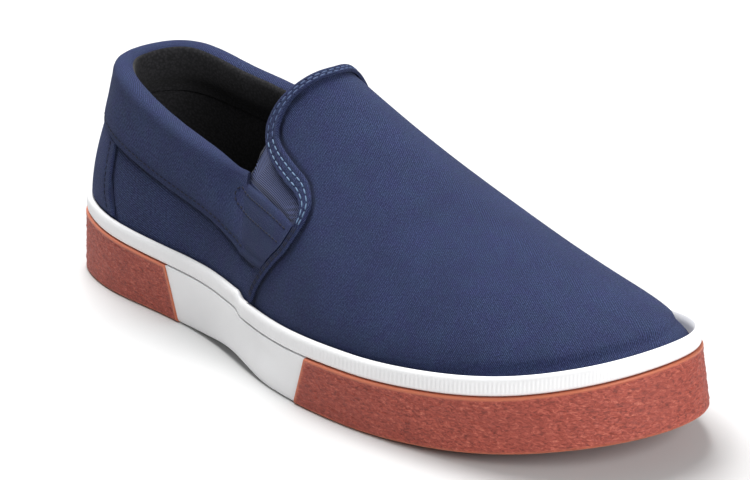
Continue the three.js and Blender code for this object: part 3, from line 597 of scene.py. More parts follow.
def insole_place(i, j):
    rings = [(0, 0, share) for share in (1, 0.6, 0.3, 0)] + [(0, 0.7, 0)]
    rings += [(INSOLE_EDGE * (1 - math.cos(a)), 0.7 + 0.3 * math.sin(a), 0) for a in CORNER[1:]]
    rings += [(INSOLE_EDGE, 1, share) for share in (0.15, 0.35, 0.6, 0.8, 1)]
    inset, level, share = through(rings, j).T
    one = plan_inset(i, INSOLE_INSET + inset, 1.0)
    other = plan_inset(1 - i, INSOLE_INSET + inset, 1.0)
    plan = one + (0.5 * (one + other) - one) * share[:, None]
    smooth_step = smoothstep(plan[:, 0] - FOXING_STEP_X, -30, 30)
    bed = sidewall_top(plan[:, 0]) + FOXING_STEP_BELOW * (foxing_step(plan[:, 0]) - smooth_step)
    floor = sidewall_top(plan[:, 0])
    return np.stack([plan[:, 0], plan[:, 1], floor + (bed + INSOLE_THICKNESS - floor) * level], -1)


insole = made_piece("insole_looks", laid_grid(240, 13, insole_place, (True, False)), [lining])
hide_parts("insole")

# Upper
# One shell of cotton canvas over a backing, pulled over the last and turned in under the cup. A
# vamp and two quarters are cut from a dense twill, which shows fine slanting lines and flecks.
HEEL_HEIGHT = 91
INSTEP_HEIGHT = 106
LASTING_LIFT = 0.8
SPOKE_SPREAD = 8
SECTIONS = np.array([
    # base, at, side, heel, instep, inner, rise, flare, reach, dip, hem
    (0, 0.078, 0, 1, 0, 0, 0.4, -2, 0.35, 74, 0.62),
    (0.03, 0.095, 0.114, 0.989, 0, 0.027, 0.4, -1, 0.35, 75, 0.6),
    (0.1, 0.14, 0.191, 0.951, 0, 0.055, 0.4, 1, 0.35, 78, 0.565),
    (0.2, 0.213, 0.232, 0.879, 0, 0.066, 0.4, 2, 0.35, 81, 0.53),
    (0.3, 0.29, 0.25, 0.813, 0, 0.088, 0.4, 2, 0.35, 80, 0.485),
    (0.385, 0.357, 0.255, 0.576, 0.156, 0.088, 0.4, 2, 0.35, 75, 0.435),
    (0.45, 0.405, 0.245, 0.411, 0.289, 0.066, 0.42, 2, 0.36, 64, 0.335),
    (0.56, 0.428, 0.213, 0.092, 0.742, 0.016, 0.42, 2, 0.4, 50, 0.26),
    (0.7, 0.442, 0.164, 0, 0.93, 0, 0.31, 0, 0.46, 42, 0.26),
    (0.86, 0.457, 0.086, 0, 0.985, 0, 0.2, -6, 0.54, 36.5, 0.26),
    (1, 0.465, 0, 0, 1, 0, 0.14, -22, 0.6, 32, 0.26),
])
BASE, AT, SIDE, HEEL, INSTEP, INNER, RISE, FLARE, REACH, DIP, HEM = SECTIONS.T

base_drift = np.arccos(1 - 2 * BASE) / (2 * np.pi) - np.arange(len(BASE)) / (2 * (len(BASE) - 1))
drift = whole_turn(base_drift, -base_drift)
opening_x = whole_turn((AT - 0.5) * LENGTH, (AT - 0.5) * LENGTH)
opening_y = whole_turn(-SIDE * BALL_WIDTH, SIDE * BALL_WIDTH)
opening_z = whole_turn(
    HEEL * HEEL_HEIGHT + INSTEP * INSTEP_HEIGHT,
    (HEEL + INNER) * HEEL_HEIGHT + INSTEP * INSTEP_HEIGHT)
rise_share = whole_turn(RISE, RISE)
flare_angle = whole_turn(np.radians(FLARE), np.radians(FLARE))
reach_share = whole_turn(REACH, REACH)
dip_angle = whole_turn(np.radians(DIP), np.radians(DIP))
hem_level = whole_turn(HEM, HEM)


def unit(vectors):
    return vectors / np.linalg.norm(vectors, axis=-1, keepdims=True)


def last_point(turn, up):
    """Point of the last: turn runs round the shoe from the heel, up from feather line to opening."""
    base_turn = turn + drift(turn)
    plan = plan_inset(base_turn, FEATHER_INSET + 0 * turn, 1.0)
    ahead = plan_inset(base_turn + 0.002, FEATHER_INSET + 0 * turn, 1.0)
    tangent = unit(ahead - plan)
    outward = np.stack([tangent[:, 1], -tangent[:, 0], 0 * turn], -1)
    base = np.stack([plan[:, 0], plan[:, 1], sidewall_top(plan[:, 0]) + LASTING_LIFT], -1)
    top = np.stack([opening_x(turn), opening_y(turn), opening_z(turn)], -1)
    height = rise_share(turn) * (top[:, 2] - base[:, 2])
    upright = np.array([0, 0, 1.0])
    flare, dip = flare_angle(turn), dip_angle(turn)
    low = base + outward * (np.sin(flare) * height)[:, None] + upright * (np.cos(flare) * height)[:, None]
    level = unit((base - top) * [1, 1, 0] + outward * SPOKE_SPREAD)
    reach = reach_share(turn) * np.linalg.norm(top - base, axis=1)
    high = top + level * (np.cos(dip) * reach)[:, None] - upright * (np.sin(dip) * reach)[:, None]
    u = np.asarray(up)[:, None]
    return (1 - u) ** 3 * base + 3 * (1 - u) ** 2 * u * low + 3 * (1 - u) * u * u * high + u**3 * top


def last_frame(turn, up):
    """Direction round the last, up it, and outwards."""
    step = 0.003
    along = (last_point(turn + step, up) - last_point(turn - step, up)) / (2 * step)
    upward = (last_point(turn, up + step) - last_point(turn, up - step)) / (2 * step)
    return along, upward, unit(np.cross(along, upward))


def off_last(turn, up, offset, beyond=0.0):
    """Point off the last by an offset, and beyond it up the surface."""
    _, upward, normal = last_frame(turn, up)
    offset, beyond = np.broadcast_to(offset, turn.shape), np.broadcast_to(beyond, turn.shape)
    return last_point(turn, up) + normal * offset[:, None] + unit(upward) * beyond[:, None]


def step_on_last(turn, up, direction, distance):
    """Place on the last a distance away in a direction on its surface."""
    along, upward, _ = last_frame(turn, up)
    aa = (along * along).sum(-1)
    ab = (along * upward).sum(-1)
    bb = (upward * upward).sum(-1)
    pa = (along * direction).sum(-1) * distance
    pb = (upward * direction).sum(-1) * distance
    scale = aa * bb - ab * ab
    return turn + (pa * bb - pb * ab) / scale, up + (pb * aa - pa * ab) / scale


def foxing_edge(turn):
    """How far up the last the foxing's top edge lies."""
    low, high = np.zeros_like(turn), np.ones_like(turn)
    for _ in range(24):
        middle = (low + high) / 2
        p = last_point(turn, middle)
        below = p[:, 2] < foxing_top(p[:, 0]) + GAP
        low, high = np.where(below, middle, low), np.where(below, high, middle)
    return high


edge_turns = np.linspace(0, 1, 721)
edge_ups = foxing_edge(edge_turns)


def rise_to_up(turn, rise):
    """Place up the last of a share of the height between the foxing and the opening."""
    edge = np.interp(turn - np.floor(turn), edge_turns, edge_ups)
    return edge + (1 - edge) * rise


# The binding's edge round the opening, from the foxing to the middle of the tab
BINDING_PATH = np.array([
    # at, turn, rise, width
    (0, 0.3004, 0, 2.6),
    (0.0715, 0.3123, 0.165, 2.5),
    (0.127, 0.3231, 0.262, 2.4),
    (0.192, 0.3367, 0.352, 2.3),
    (0.259, 0.3502, 0.424, 2.3),
    (0.298, 0.3583, 0.477, 2.4),
    (0.3315, 0.3658, 0.528, 2.7),
    (0.372, 0.3738, 0.59, 3.9),
    (0.401, 0.3772, 0.633, 5),
    (0.439, 0.3751, 0.674, 6.4),
    (0.487, 0.3685, 0.718, 6.9),
    (0.542, 0.361, 0.775, 6.9),
    (0.5955, 0.3538, 0.843, 6.9),
    (0.6355, 0.3495, 0.901, 7),
    (0.671, 0.3476, 0.953, 7),
    (0.695, 0.3493, 0.985, 6.8),
    (0.725, 0.3553, 1.003, 6.1),
    (0.762, 0.369, 1.006, 4.9),
    (0.804, 0.3893, 1.006, 3.8),
    (0.851, 0.4141, 1.006, 3.1),
    (0.898, 0.439, 1.006, 2.9),
    (1, 0.5, 1.005, 2.8),
])
binding_turn = table_curve(BINDING_PATH[:, 0], BINDING_PATH[:, 1])
binding_rise = table_curve(BINDING_PATH[:, 0], BINDING_PATH[:, 2])
width_on_path = table_curve(BINDING_PATH[:, 0], BINDING_PATH[:, 3])
FOOT_RISE = 0.012


def binding_edge(at):
    """Place of the binding's edge at the opening; at runs 0 to 2 from foot to foot."""
    half = np.where(at <= 1, at, 2 - at)
    turn = binding_turn(half)
    turn = np.where(at > 1, 1 - turn, turn)
    return turn, rise_to_up(turn, binding_rise(half))


def binding_width(at):
    return width_on_path(np.where(at <= 1, at, 2 - at))


def binding_across(at):
    """Direction from that edge towards the vamp."""
    before, after = binding_edge(at - 0.01), binding_edge(at + 0.01)
    run = last_point(*after) - last_point(*before)
    return -unit(np.cross(last_frame(*binding_edge(at))[2], run))


def on_binding(at, share):
    """Place on the binding, from its edge at the opening to its edge on the vamp."""
    turn, up = binding_edge(at)
    across = binding_across(at)
    for _ in range(3):
        turn, up = step_on_last(turn, up, across, binding_width(at) * share / 3)
    lowest = rise_to_up(turn, FOOT_RISE)
    return turn, np.maximum(up, lowest)


def twill(name, thread, light, middle_tone, dark, strength):
    """Cotton twill: slanting ridges a thread apart over a plain weave, with flecks of paler fibre, and
    painted shade where the attribute mark is set.
    """
    material, tree, shader = new_material(name)
    uv = add_node(tree, "ShaderNodeUVMap", uv_map="pattern").outputs[0]
    where = add_node(tree, "ShaderNodeTexCoord").outputs["Object"]
    split = add_node(tree, "ShaderNodeSeparateXYZ", links={0: uv})

    def maths(operation, first, second):
        """A sum, product or sine of outputs and numbers."""
        both = list(enumerate((first, second)))
        values = {k: v for k, v in both if isinstance(v, float)}
        links = {k: v for k, v in both if not isinstance(v, float)}
        return add_node(tree, "ShaderNodeMath", values, links, operation=operation).outputs[0]

    def wave(across, up, pitch):
        a = maths("MULTIPLY", split.outputs[0], across * 2 * math.pi / pitch)
        b = maths("MULTIPLY", split.outputs[1], up * 2 * math.pi / pitch)
        return maths("SINE", maths("ADD", a, b), 0.0)

    slant = maths("MULTIPLY", wave(0.5, 0.87, thread * 1.4), 0.8)
    cross = maths("MULTIPLY", wave(1, 0, thread), wave(0, 1, thread * 0.9))
    woven = maths("ADD", slant, maths("MULTIPLY", cross, 0.7))
    fibre = add_node(
        tree, "ShaderNodeTexNoise", {"Scale": 0.9 / thread, "Detail": 4, "Roughness": 0.8},
        {"Vector": uv})
    spread = add_node(
        tree, "ShaderNodeMapRange", {"From Min": 0.3, "From Max": 0.7, "To Min": -1.5, "To Max": 1.5},
        {"Value": fibre.outputs[0]})
    height = maths("ADD", woven, spread.outputs[0])
    tone = add_node(
        tree, "ShaderNodeMapRange", {"From Min": -3, "From Max": 3}, {"Value": height}).outputs[0]
    shade = colour_ramp(tree, tone, [(0.15, dark), (0.5, middle_tone), (0.85, light)])
    cloud = add_node(tree, "ShaderNodeTexNoise", {"Scale": 60, "Detail": 4}, {"Vector": where})
    faded = add_node(
        tree, "ShaderNodeMapRange", {"From Min": 0.3, "From Max": 0.7, "To Min": 0.9, "To Max": 1.1},
        {"Value": cloud.outputs[0]})
    dye = add_node(tree, "ShaderNodeTexNoise", {"Scale": 190, "Detail": 2}, {"Vector": where})
    hue = add_node(
        tree, "ShaderNodeMapRange", {"From Min": 0.3, "From Max": 0.7, "To Min": 0.492, "To Max": 0.508},
        {"Value": dye.outputs[0]})
    # Painted shade beside sewn edges: the attribute mark darkens the canvas there.
    painted_shade_share = add_node(tree, "ShaderNodeAttribute", attribute_name="mark").outputs["Fac"]
    lit = maths("SUBTRACT", 1.0, maths("MULTIPLY", painted_shade_share, 0.92))
    final = add_node(
        tree, "ShaderNodeHueSaturation", {},
        {"Color": shade, "Hue": hue.outputs[0], "Value": maths("MULTIPLY", faded.outputs[0], lit)})
    tree.links.new(final.outputs[0], shader.inputs["Base Color"])
    bump = add_node(
        tree, "ShaderNodeBump", {"Strength": strength, "Distance": 0.0001}, {"Height": height})
    tree.links.new(bump.outputs[0], shader.inputs["Normal"])
    shader.inputs["Roughness"].default_value = 0.92
    shader.inputs["Sheen Weight"].default_value = 0.12
    shader.inputs["Sheen Roughness"].default_value = 0.5
    shader.inputs["Sheen Tint"].default_value = linear("#9aa8cc")
    shader.inputs["Specular IOR Level"].default_value = 0.2
    return material


# Navy twill: matt, with slanting ridges, paler flecks and a slight bloom. A thread is drawn 0.6 mm
# wide, a little coarser than it is, so that the ridges show.
canvas = twill("navy_cotton_twill", 0.6, "#4f5b86", "#242d52", "#0a0e24", 0.9)

UPPER_COLUMNS = 420
UPPER_ROWS_OUT = 64
UPPER_ROWS_IN = 30


def upper_section(j):
    """Up, offset and beyond over the shell's section, from the foot up outside and down inside."""
    shell = [(k / UPPER_ROWS_OUT, 0, 0) for k in range(UPPER_ROWS_OUT + 1)]
    shell += [(1, -0.3, 0.25), (1, -UPPER_WALL / 2, 0.4), (1, 0.3 - UPPER_WALL, 0.25)]
    shell += [(1 - k / UPPER_ROWS_IN, -UPPER_WALL, 0) for k in range(UPPER_ROWS_IN + 1)]
    shell += [(0, 0, 0)]
    return through(shell, j).T


UPPER_SECTION_STEPS = UPPER_ROWS_OUT + UPPER_ROWS_IN + 5
UPPER_INSIDE_FROM = (UPPER_ROWS_OUT + 2) / UPPER_SECTION_STEPS


def apart(points, line):
    """How far points lie from a line of points."""
    tree = KDTree(len(line))
    for number, point in enumerate(line):
        tree.insert(point, number)
    tree.balance()
    return np.array([tree.find(point)[2] for point in points])


# How far round from the heel the counter's front edges lie, from the foxing up
counter_edge_turn = table_curve([0, 0.2, 0.7], [0.116, 0.108, 0.1055])


def beside_seams(points):
    """Share by which a sewn line pulls the cloth in and the canvas is painted darker as painted shade: 1
    beside it, 0 a few millimetres away.

    The lines are the collar's hem, the counter's front edges and the binding's edge on the vamp."""
    hem_turn = np.linspace(-0.31, 0.31, 500)
    hem = last_point(hem_turn, rise_to_up(hem_turn, hem_level(hem_turn) - 0.022))
    share = np.linspace(0, 0.66, 60)
    turn = counter_edge_turn(share) + 0.001
    edges = [last_point(side * turn, rise_to_up(side * turn, share)) for side in (-1, 1)]
    counter = np.concatenate(edges)
    run = np.linspace(0.004, 1.996, 800)
    vamp = last_point(*on_binding(run, np.full_like(run, 1.03)))
    return np.maximum.reduce([
        amount * np.exp(-((apart(points, line) / reach) ** 2))
        for line, reach, amount in ((hem, 1.1, 1), (counter, 0.7, 0.7), (vamp, 0.75, 1))])


CLOTH_EASE = 0.12
SEAM_PULL = 0.5
TOE_PUFF = 1.3


def upper_place(i, j):
    """The shell, eased a little, pulled in beside seams and puffed over the foxing at the toe."""
    up, offset, beyond = upper_section(j)
    point = off_last(i, up, offset, beyond)
    ease = np.array([noise.fractal(Vector(p * 0.03), 0.8, 2.0, 2) for p in point])
    pulled = SEAM_PULL * beside_seams(point) * (offset > -0.1)
    foot = rise_to_up(i, 0)
    rise = (up - foot) / (1 - foot)
    puff = TOE_PUFF * np.exp(-(((rise - 0.08) / 0.16) ** 2)) * smoothstep(rise, 0, 0.05)
    puff = puff * smoothstep(np.abs(i - 0.5), 0.21, 0.04)
    swell = CLOTH_EASE * ease * smoothstep(up, 0.2, 0.5) + puff - pulled
    return point + last_frame(i, up)[2] * swell[:, None]


def seam_painted_shade(i, j, points):
    """Painted shade: how much darker the canvas is painted right beside a sewn edge, where it is hardly
    lit.
    """
    return beside_seams(points) * (upper_section(j)[1] > -0.1)


ridge_x, _, ridge_z = last_point(np.full(200, 0.5), np.linspace(1, 0, 200)).T


def cloth_pattern(i, j):
    """Pattern in millimetres: along the shoe and down its sides, or round the heel and up."""
    up = upper_section(j)[0]
    point = last_point(i, up)
    turned = np.minimum(i, 1 - i)
    foot = rise_to_up(i, 0)
    vamp_line = np.interp((up - foot) / (1 - foot), BINDING_PATH[:18, 2], BINDING_PATH[:18, 1]) + 0.008
    round_heel = np.sign(0.5 - i) * 280 * turned
    down = np.interp(point[:, 0], ridge_x, ridge_z) - point[:, 2]
    flat = np.stack([point[:, 0], point[:, 1] + np.sign(point[:, 1]) * down], -1)
    wrapped = np.stack([round_heel, point[:, 2]], -1)
    return np.where((turned > vamp_line)[:, None], flat, wrapped)


# The gore's outline, by which its window is cut out of the shell: its edge under the collar, and
# its top edge from collar to binding
BINDING_AT_GORE_FOOT = 0.335
BINDING_AT_GORE_TOP = 0.63
GORE_THICKNESS = 1.2
GORE_LAP = 2.4
COLLAR_EDGE_AT = [0, 0.5, 1]
COLLAR_EDGE_TURN = [0.301, 0.3345, 0.3665]
COLLAR_EDGE_RISE = [1, 0.755, 0.533]
collar_edge_turn = table_curve(COLLAR_EDGE_AT, COLLAR_EDGE_TURN)
collar_edge_rise = table_curve(COLLAR_EDGE_AT, COLLAR_EDGE_RISE)
GORE_TOP = [1, 1, 1.02, 1.015, 0.985, 0.955, 0.925]
GORE_TOP_ROW = 1 / 7


def gore_spot(inner, across, down):
    """Place on the gore: across from collar to binding, down from its top edge to its foot."""

    def sides(down):
        turn = collar_edge_turn(down)
        turn = 1 - turn if inner else turn
        up = rise_to_up(turn, collar_edge_rise(down))
        along = unit(last_frame(turn, up)[0])
        rear = step_on_last(turn, up, along, (1 if inner else -1) * GORE_LAP)
        half = BINDING_AT_GORE_TOP + (BINDING_AT_GORE_FOOT - BINDING_AT_GORE_TOP) * down
        at = 2 - half if inner else half
        lap = np.minimum(GORE_LAP, binding_width(at) - 1.2)
        return rear, step_on_last(*binding_edge(at), binding_across(at), lap)

    rear, front = sides(np.clip(down, 0, 1))
    turn = rear[0] + (front[0] - rear[0]) * across
    rear, front = sides(np.clip(down, GORE_TOP_ROW, 1))
    up = rear[1] + (front[1] - rear[1]) * across
    top = np.interp(across, np.linspace(0, 1, len(GORE_TOP)), GORE_TOP)
    return turn, up + (top - up) * np.clip(1 - down / GORE_TOP_ROW, 0, 1)


def gore_window(inner):
    """Block that cuts a gore's window out of the shell."""

    def place(i, j):
        turn, up = gore_spot(inner, 1.02 * i - 0.01, (j - 0.08) / 0.92)
        return off_last(turn, np.where(j < 0.06, 1.06, up), -UPPER_WALL / 2)

    block = made_piece("gore_window", laid_grid(24, 24, place), [canvas], close=False)
    thick = block.modifiers.new("thick", "SOLIDIFY")
    thick.thickness = 0.005
    thick.offset = 0
    settle(block)
    return block


upper_mesh = laid_grid(
    UPPER_COLUMNS, UPPER_SECTION_STEPS, upper_place, (True, True),
    uv=cloth_pattern, inside=lambda i, j: UPPER_INSIDE_FROM < j < 0.99, mark=seam_painted_shade)
bmesh.ops.recalc_face_normals(upper_mesh, faces=upper_mesh.faces)
upper = made_piece("upper_looks", upper_mesh, [canvas, lining], sharp=80)
for inner in (False, True):
    join_or_cut(upper, gore_window(inner), "DIFFERENCE")
upper.data.set_sharp_from_angle(angle=math.radians(60))
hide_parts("upper")

# Throat binding
# A folded strip of the same canvas, sewn flat over the raw edge of the vamp with two rows of pale
# blue thread, from the foxing round the tab and down to the foxing on the other side.
BINDING_THICKNESS = 1.3
BINDING_LIFT = 1.5 * GAP
STITCH_ROWS = (0.27, 0.66)
# Its section where it lies on the vamp, and where it wraps the tab's edge: share across, share of
# its thickness, and how far beyond the edge
across_flat = [(1 - k / 20, 1, 0) for k in range(2, 20)]
lying = [(1, 0, 0), (1, 0.5, 0), (0.985, 0.85, 0), *across_flat]
lying += [(0.02, 0.9, 0), (0, 0.7, 0), (-0.01, 0.4, 0), (0, 0.1, 0), (0.04, 0, 0), (0.12, 0, 0)]
lying += [(0.3, 0, 0), (0.5, 0, 0), (1, 0, 0)]
wrapping = [(1, 0, 0), (1, 0.5, 0), (0.985, 0.85, 0), *across_flat]
wrapping += [(0, 0.98, 0.1), (0, 0.7, 0.65), (0, 0.1, 1), (0, -0.8, 1.1), (0, -1.7, 0.8), (0, -2.15, 0)]
wrapping += [(0.35, -2.15, 0), (0.35, 0, 0), (1, 0, 0)]


def binding_height(at, share):
    """Height of the cloth over the last, pinched along the rows of stitches."""
    pinch = sum(np.exp(-(((share - row) / 0.075) ** 2)) for row in STITCH_ROWS)
    pucker = 0.07 * np.sin(at * 2 * np.pi * 50) * np.exp(-(((share - 0.46) / 0.3) ** 2))
    return BINDING_LIFT + BINDING_THICKNESS - 0.3 * pinch + pucker


def binding_place(i, j):
    at = 0.004 + (2 - 0.008) * i
    wraps = smoothstep(binding_rise(np.where(at <= 1, at, 2 - at)), 0.975, 1)[:, None]
    section = through(lying, j)
    section = section + (through(wrapping, j) - section) * wraps
    share, thick, beyond = section.T
    turn, up = on_binding(at, np.clip(share, 0, 1))
    top = binding_height(at, share)
    above = BINDING_LIFT + (top - BINDING_LIFT) * thick
    below = BINDING_LIFT + BINDING_THICKNESS * thick
    height = np.where(thick > 0, above, below)
    return off_last(turn, up, height, beyond - np.minimum(share, 0) * 6)


binding_mesh = laid_grid(
    640, len(lying) - 1, binding_place, (False, True),
    uv=lambda i, j: np.stack([i * 300, j * 17], -1))
binding = made_piece("throat_binding_looks", binding_mesh, [canvas], sharp=70)
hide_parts("throat_binding")

# Sewing thread: spun polyester, pale blue and a little shiny along the sides of the binding, darker
# blue and dull across the tab, and nearly black at the feet of the binding and on the collar and
# the counter
thread, tree, shader = new_material("pale_blue_polyester_thread")
shader.inputs["Base Color"].default_value = linear("#5d7a9c")
shader.inputs["Roughness"].default_value = 0.55
shader.inputs["Sheen Weight"].default_value = 0.2
tab_thread, tree, shader = new_material("darker_blue_polyester_thread")
shader.inputs["Base Color"].default_value = linear("#46587e")
shader.inputs["Roughness"].default_value = 0.7
dark_thread, tree, shader = new_material("navy_polyester_thread")
shader.inputs["Base Color"].default_value = linear("#10142a")
shader.inputs["Roughness"].default_value = 0.8


def sewn_row(name, piece, turn, up, pitch, length, thick, material):
    """Lockstitches along places on a piece, each a short grain that sinks in at its ends."""
    solid = bmesh.new()
    solid.from_mesh(piece.data)
    surface = BVHTree.FromBMesh(solid)
    solid.free()
    normals = last_frame(turn, up)[2]
    above = off_last(turn, up, 8)
    hits = [surface.ray_cast(Vector(p / 1000), Vector(-n))[0] for p, n in zip(above, normals)]
    kept = [k for k, hit in enumerate(hits) if hit is not None]
    points = np.array([hits[k] for k in kept]) * 1000
    normals = normals[kept]
    steps = np.linalg.norm(np.diff(points, axis=0), axis=1)
    run = np.concatenate([[0], np.cumsum(steps)])
    count = max(2, int(run[-1] / pitch))
    mesh = bmesh.new()
    for k in range(count):
        middle = (k + 0.5) * run[-1] / count
        around = [middle - length / 2, middle + length / 2, middle]
        start, end, centre = np.stack([np.interp(around, run, points[:, c]) for c in range(3)], -1)
        normal = unit(np.array([np.interp(middle, run, normals[:, c]) for c in range(3)]))
        along = unit(end - start)
        across = unit(np.cross(normal, along))
        turned = Matrix([across, along, normal]).transposed().to_4x4()
        size = Matrix.Diagonal((thick / 2000, length / 2000, thick / 2400, 1))
        centre = Vector(centre + normal * thick * 0.22) / 1000
        bmesh.ops.create_uvsphere(
            mesh, u_segments=8, v_segments=6, radius=1,
            matrix=Matrix.Translation(centre) @ turned @ size @ Matrix.Rotation(math.pi / 2, 4, "X"))
    row = made_piece(name, mesh, [material], close=False)


for part, first, last, sewing in (
    ("outer_foot", 0.03, 0.335, dark_thread), ("outer_side", 0.34, 0.66, thread),
    ("tab", 0.665, 1.335, tab_thread), ("inner_side", 1.34, 1.66, thread),
    ("inner_foot", 1.665, 1.97, dark_thread),
):
    run = np.linspace(first, last, int(500 * (last - first)))
    for number, share in enumerate(STITCH_ROWS):
        turn, up = on_binding(run, np.full_like(run, share))
        sewn_row(f"binding_stitches_{part}_{number + 1}", binding, turn, up, 3.0, 2.5, 0.6, sewing)

# Gores
# Ribbed elastic let in between collar and binding on each side. Rubber threads pull the knit into
# close ribs, and its top end is folded over.
RIB_PITCH = 0.95
GORE_FOLD = 2.2

# Elastic: navy ribs, painted darker in the valleys between them as painted shade, a paler fold, and
# painted shade beside its seams
elastic, tree, shader = new_material("navy_ribbed_elastic")
uv = add_node(tree, "ShaderNodeUVMap", uv_map="pattern").outputs[0]
split = add_node(tree, "ShaderNodeSeparateXYZ", links={0: uv})
turns_over = add_node(
    tree, "ShaderNodeMath", {1: 2 * math.pi / RIB_PITCH}, {0: split.outputs[0]}, operation="MULTIPLY")
ribs = add_node(tree, "ShaderNodeMath", {}, {0: turns_over.outputs[0]}, operation="COSINE").outputs[0]
rib_share = add_node(
    tree, "ShaderNodeMapRange", {"From Min": -1, "From Max": 1}, {"Value": ribs}).outputs[0]
# Painted shade: the ribs' colour darkens towards their valleys and lightens on their crests.
ribs_with_painted_shade = colour_ramp(tree, rib_share, [(0.1, "#171d36"), (0.5, "#2d375e"), (1, "#505c8a")])
folded = add_node(
    tree, "ShaderNodeMapRange",
    {"From Min": GORE_FOLD * 0.5, "From Max": GORE_FOLD, "To Min": 0.15, "To Max": 0},
    {"Value": split.outputs[1]})
paler = add_node(
    tree, "ShaderNodeMix", {7: linear("#5c678e")},
    {"Factor": folded.outputs[0], 6: ribs_with_painted_shade}, data_type="RGBA")
# Painted shade beside the gore's seams, from the attribute mark.
gore_painted_shade = add_node(tree, "ShaderNodeAttribute", attribute_name="mark").outputs["Fac"]
shaded = add_node(
    tree, "ShaderNodeMix", {7: linear("#0b0e1c")},
    {"Factor": gore_painted_shade, 6: paler.outputs[2]}, data_type="RGBA")
tree.links.new(shaded.outputs[2], shader.inputs["Base Color"])
knots = add_node(tree, "ShaderNodeTexNoise", {"Scale": 1.6, "Detail": 3}, {"Vector": uv})
bump = add_node(
    tree, "ShaderNodeBump", {"Strength": 0.5, "Distance": 0.0002}, {"Height": knots.outputs[0]})
tree.links.new(bump.outputs[0], shader.inputs["Normal"])
shader.inputs["Roughness"].default_value = 0.85
shader.inputs["Sheen Weight"].default_value = 0.15

# Rows of a gore, down its outer side from the fold and up its inner side: down, and how far out
gore_downs = [0, 0.01, 0.03, 0.06, *np.linspace(0.1, 1, 19)]
gore_section = [(down, 0.5) for down in gore_downs]
gore_section += [(down, -0.5) for down in reversed(gore_downs)]
gore_section += [(0, -0.35), (0, 0), (0, 0.35), (0, 0.5)]
GORE_ROUND = 2 * len(gore_downs)


def gore_mesh(inner):
    """Elastic between collar and binding, ribbed on both sides and thick along its fold."""

    def width(down):
        one = last_point(*gore_spot(inner, 0 * down, down))
        other = last_point(*gore_spot(inner, 0 * down + 1, down))
        return np.linalg.norm(other - one, axis=-1)

    def place(i, j):
        down, out = through(gore_section, j).T
        row = j * (len(gore_section) - 1)
        on_fold = np.clip(row - GORE_ROUND + 1, 0, 4) / 4
        rib = 0.15 * np.cos(2 * np.pi * i * width(down) / RIB_PITCH) * np.sign(out) * (on_fold == 0)
        swollen = 0.35 * np.exp(-down / 0.05)
        offset = -UPPER_WALL / 2 + out * (GORE_THICKNESS + 2 * swollen) + rib
        turn, up = gore_spot(inner, i, down)
        return off_last(turn, up, offset, 0.7 * np.sin(np.pi * on_fold))

    def pattern(i, j):
        down, _ = through(gore_section, j).T
        return np.stack([i * width(down), down * 30], -1)

    # Painted shade: share by which the elastic is painted darker beside the seams at its sides.
    def edges(i, j, points):
        down, _ = through(gore_section, j).T
        nearest = np.minimum(i, 1 - i) * width(down) - GORE_LAP
        return 0.45 * np.exp(-((np.maximum(nearest, 0) / 0.45) ** 2))

    return laid_grid(260, len(gore_section) - 1, place, (False, True), uv=pattern, mark=edges)


for side, inner in (("lateral", False), ("medial", True)):
    gore = made_piece(f"gore_{side}_looks", gore_mesh(inner), [elastic], sharp=70)
    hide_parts(f"gore_{side}")

# Heel counter
# A canvas patch wrapped round the back of the heel, turned under and sewn down each front edge; it
# runs from the foxing up under the collar.
COUNTER_THICKNESS = 0.9
PATCH_ROWS = 24


def patch_rows(j):
    """Share up a patch over its rows and down again behind it, and which rows are behind."""
    row = j * (PATCH_ROWS + 4)
    share = np.interp(row - PATCH_ROWS, [-PATCH_ROWS, 0, 1, 2, 3, 4], [0, 1, 1, 0.5, 0, 0])
    return share, (row > PATCH_ROWS + 0.5) & (row < PATCH_ROWS + 3.5)


def counter_spot(i, down_share, inset=0.0):
    """Place on the counter: i across from inner edge to outer, share from foxing to collar."""
    edge = counter_edge_turn(down_share * 0.66) - inset
    turn = (2 * i - 1) * edge
    low = rise_to_up(turn, FOOT_RISE)
    high = rise_to_up(turn, hem_level(turn)) - 3 * GAP / HEEL_HEIGHT
    return turn, low + (high - low) * down_share


def counter_place(i, j):
    share, behind = patch_rows(j)
    side = np.abs(2 * i - 1)
    rounded = np.clip((1 - side) / 0.02, 0, 1) ** 0.5
    pinch = np.exp(-(((side - 0.91) / 0.02) ** 2))
    height = GAP + COUNTER_THICKNESS * (0.4 + 0.6 * rounded) - 0.18 * pinch
    return off_last(*counter_spot(i, share), np.where(behind, GAP, height))


counter_mesh = laid_grid(
    200, PATCH_ROWS + 4, counter_place, (False, True),
    uv=lambda i, j: np.stack([i * 68, j * 42], -1))
counter = made_piece("heel_counter_looks", counter_mesh, [canvas], sharp=70)
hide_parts("heel_counter")
counter_run = np.linspace(0.04, 0.97, 80)
for name, side in (("inner", 0.045), ("outer", 0.955)):
    turn, up = counter_spot(np.full_like(counter_run, side), counter_run)
    sewn_row(f"counter_stitches_{name}", counter, turn, up, 2.6, 2.0, 0.5, dark_thread)

# Collar
# Canvas wrapped over a roll of foam from one gore round the heel to the other, sewn down along its
# hem; beside each gore it flattens into a doubled end. Inside, knit lining starts at the rim.
COLLAR_PADDING = 3.2
COLLAR_HEM = 1.2
COLLAR_ROLL = 3.2
GORE_START = COLLAR_EDGE_TURN[0]


def collar_thickness(turn, share):
    """Padding from the hem to the rim, thinner towards the gores."""
    away = np.abs(turn - np.round(turn))
    fade = smoothstep(away, 0.2, GORE_START)
    puffed = np.clip(share, 0, 1) ** 0.5
    padding = COLLAR_HEM + (COLLAR_PADDING - COLLAR_HEM) * puffed
    seam = 0.35 * np.exp(-(((share - 0.13) / 0.05) ** 2))
    return padding + (COLLAR_HEM - padding) * fade - seam


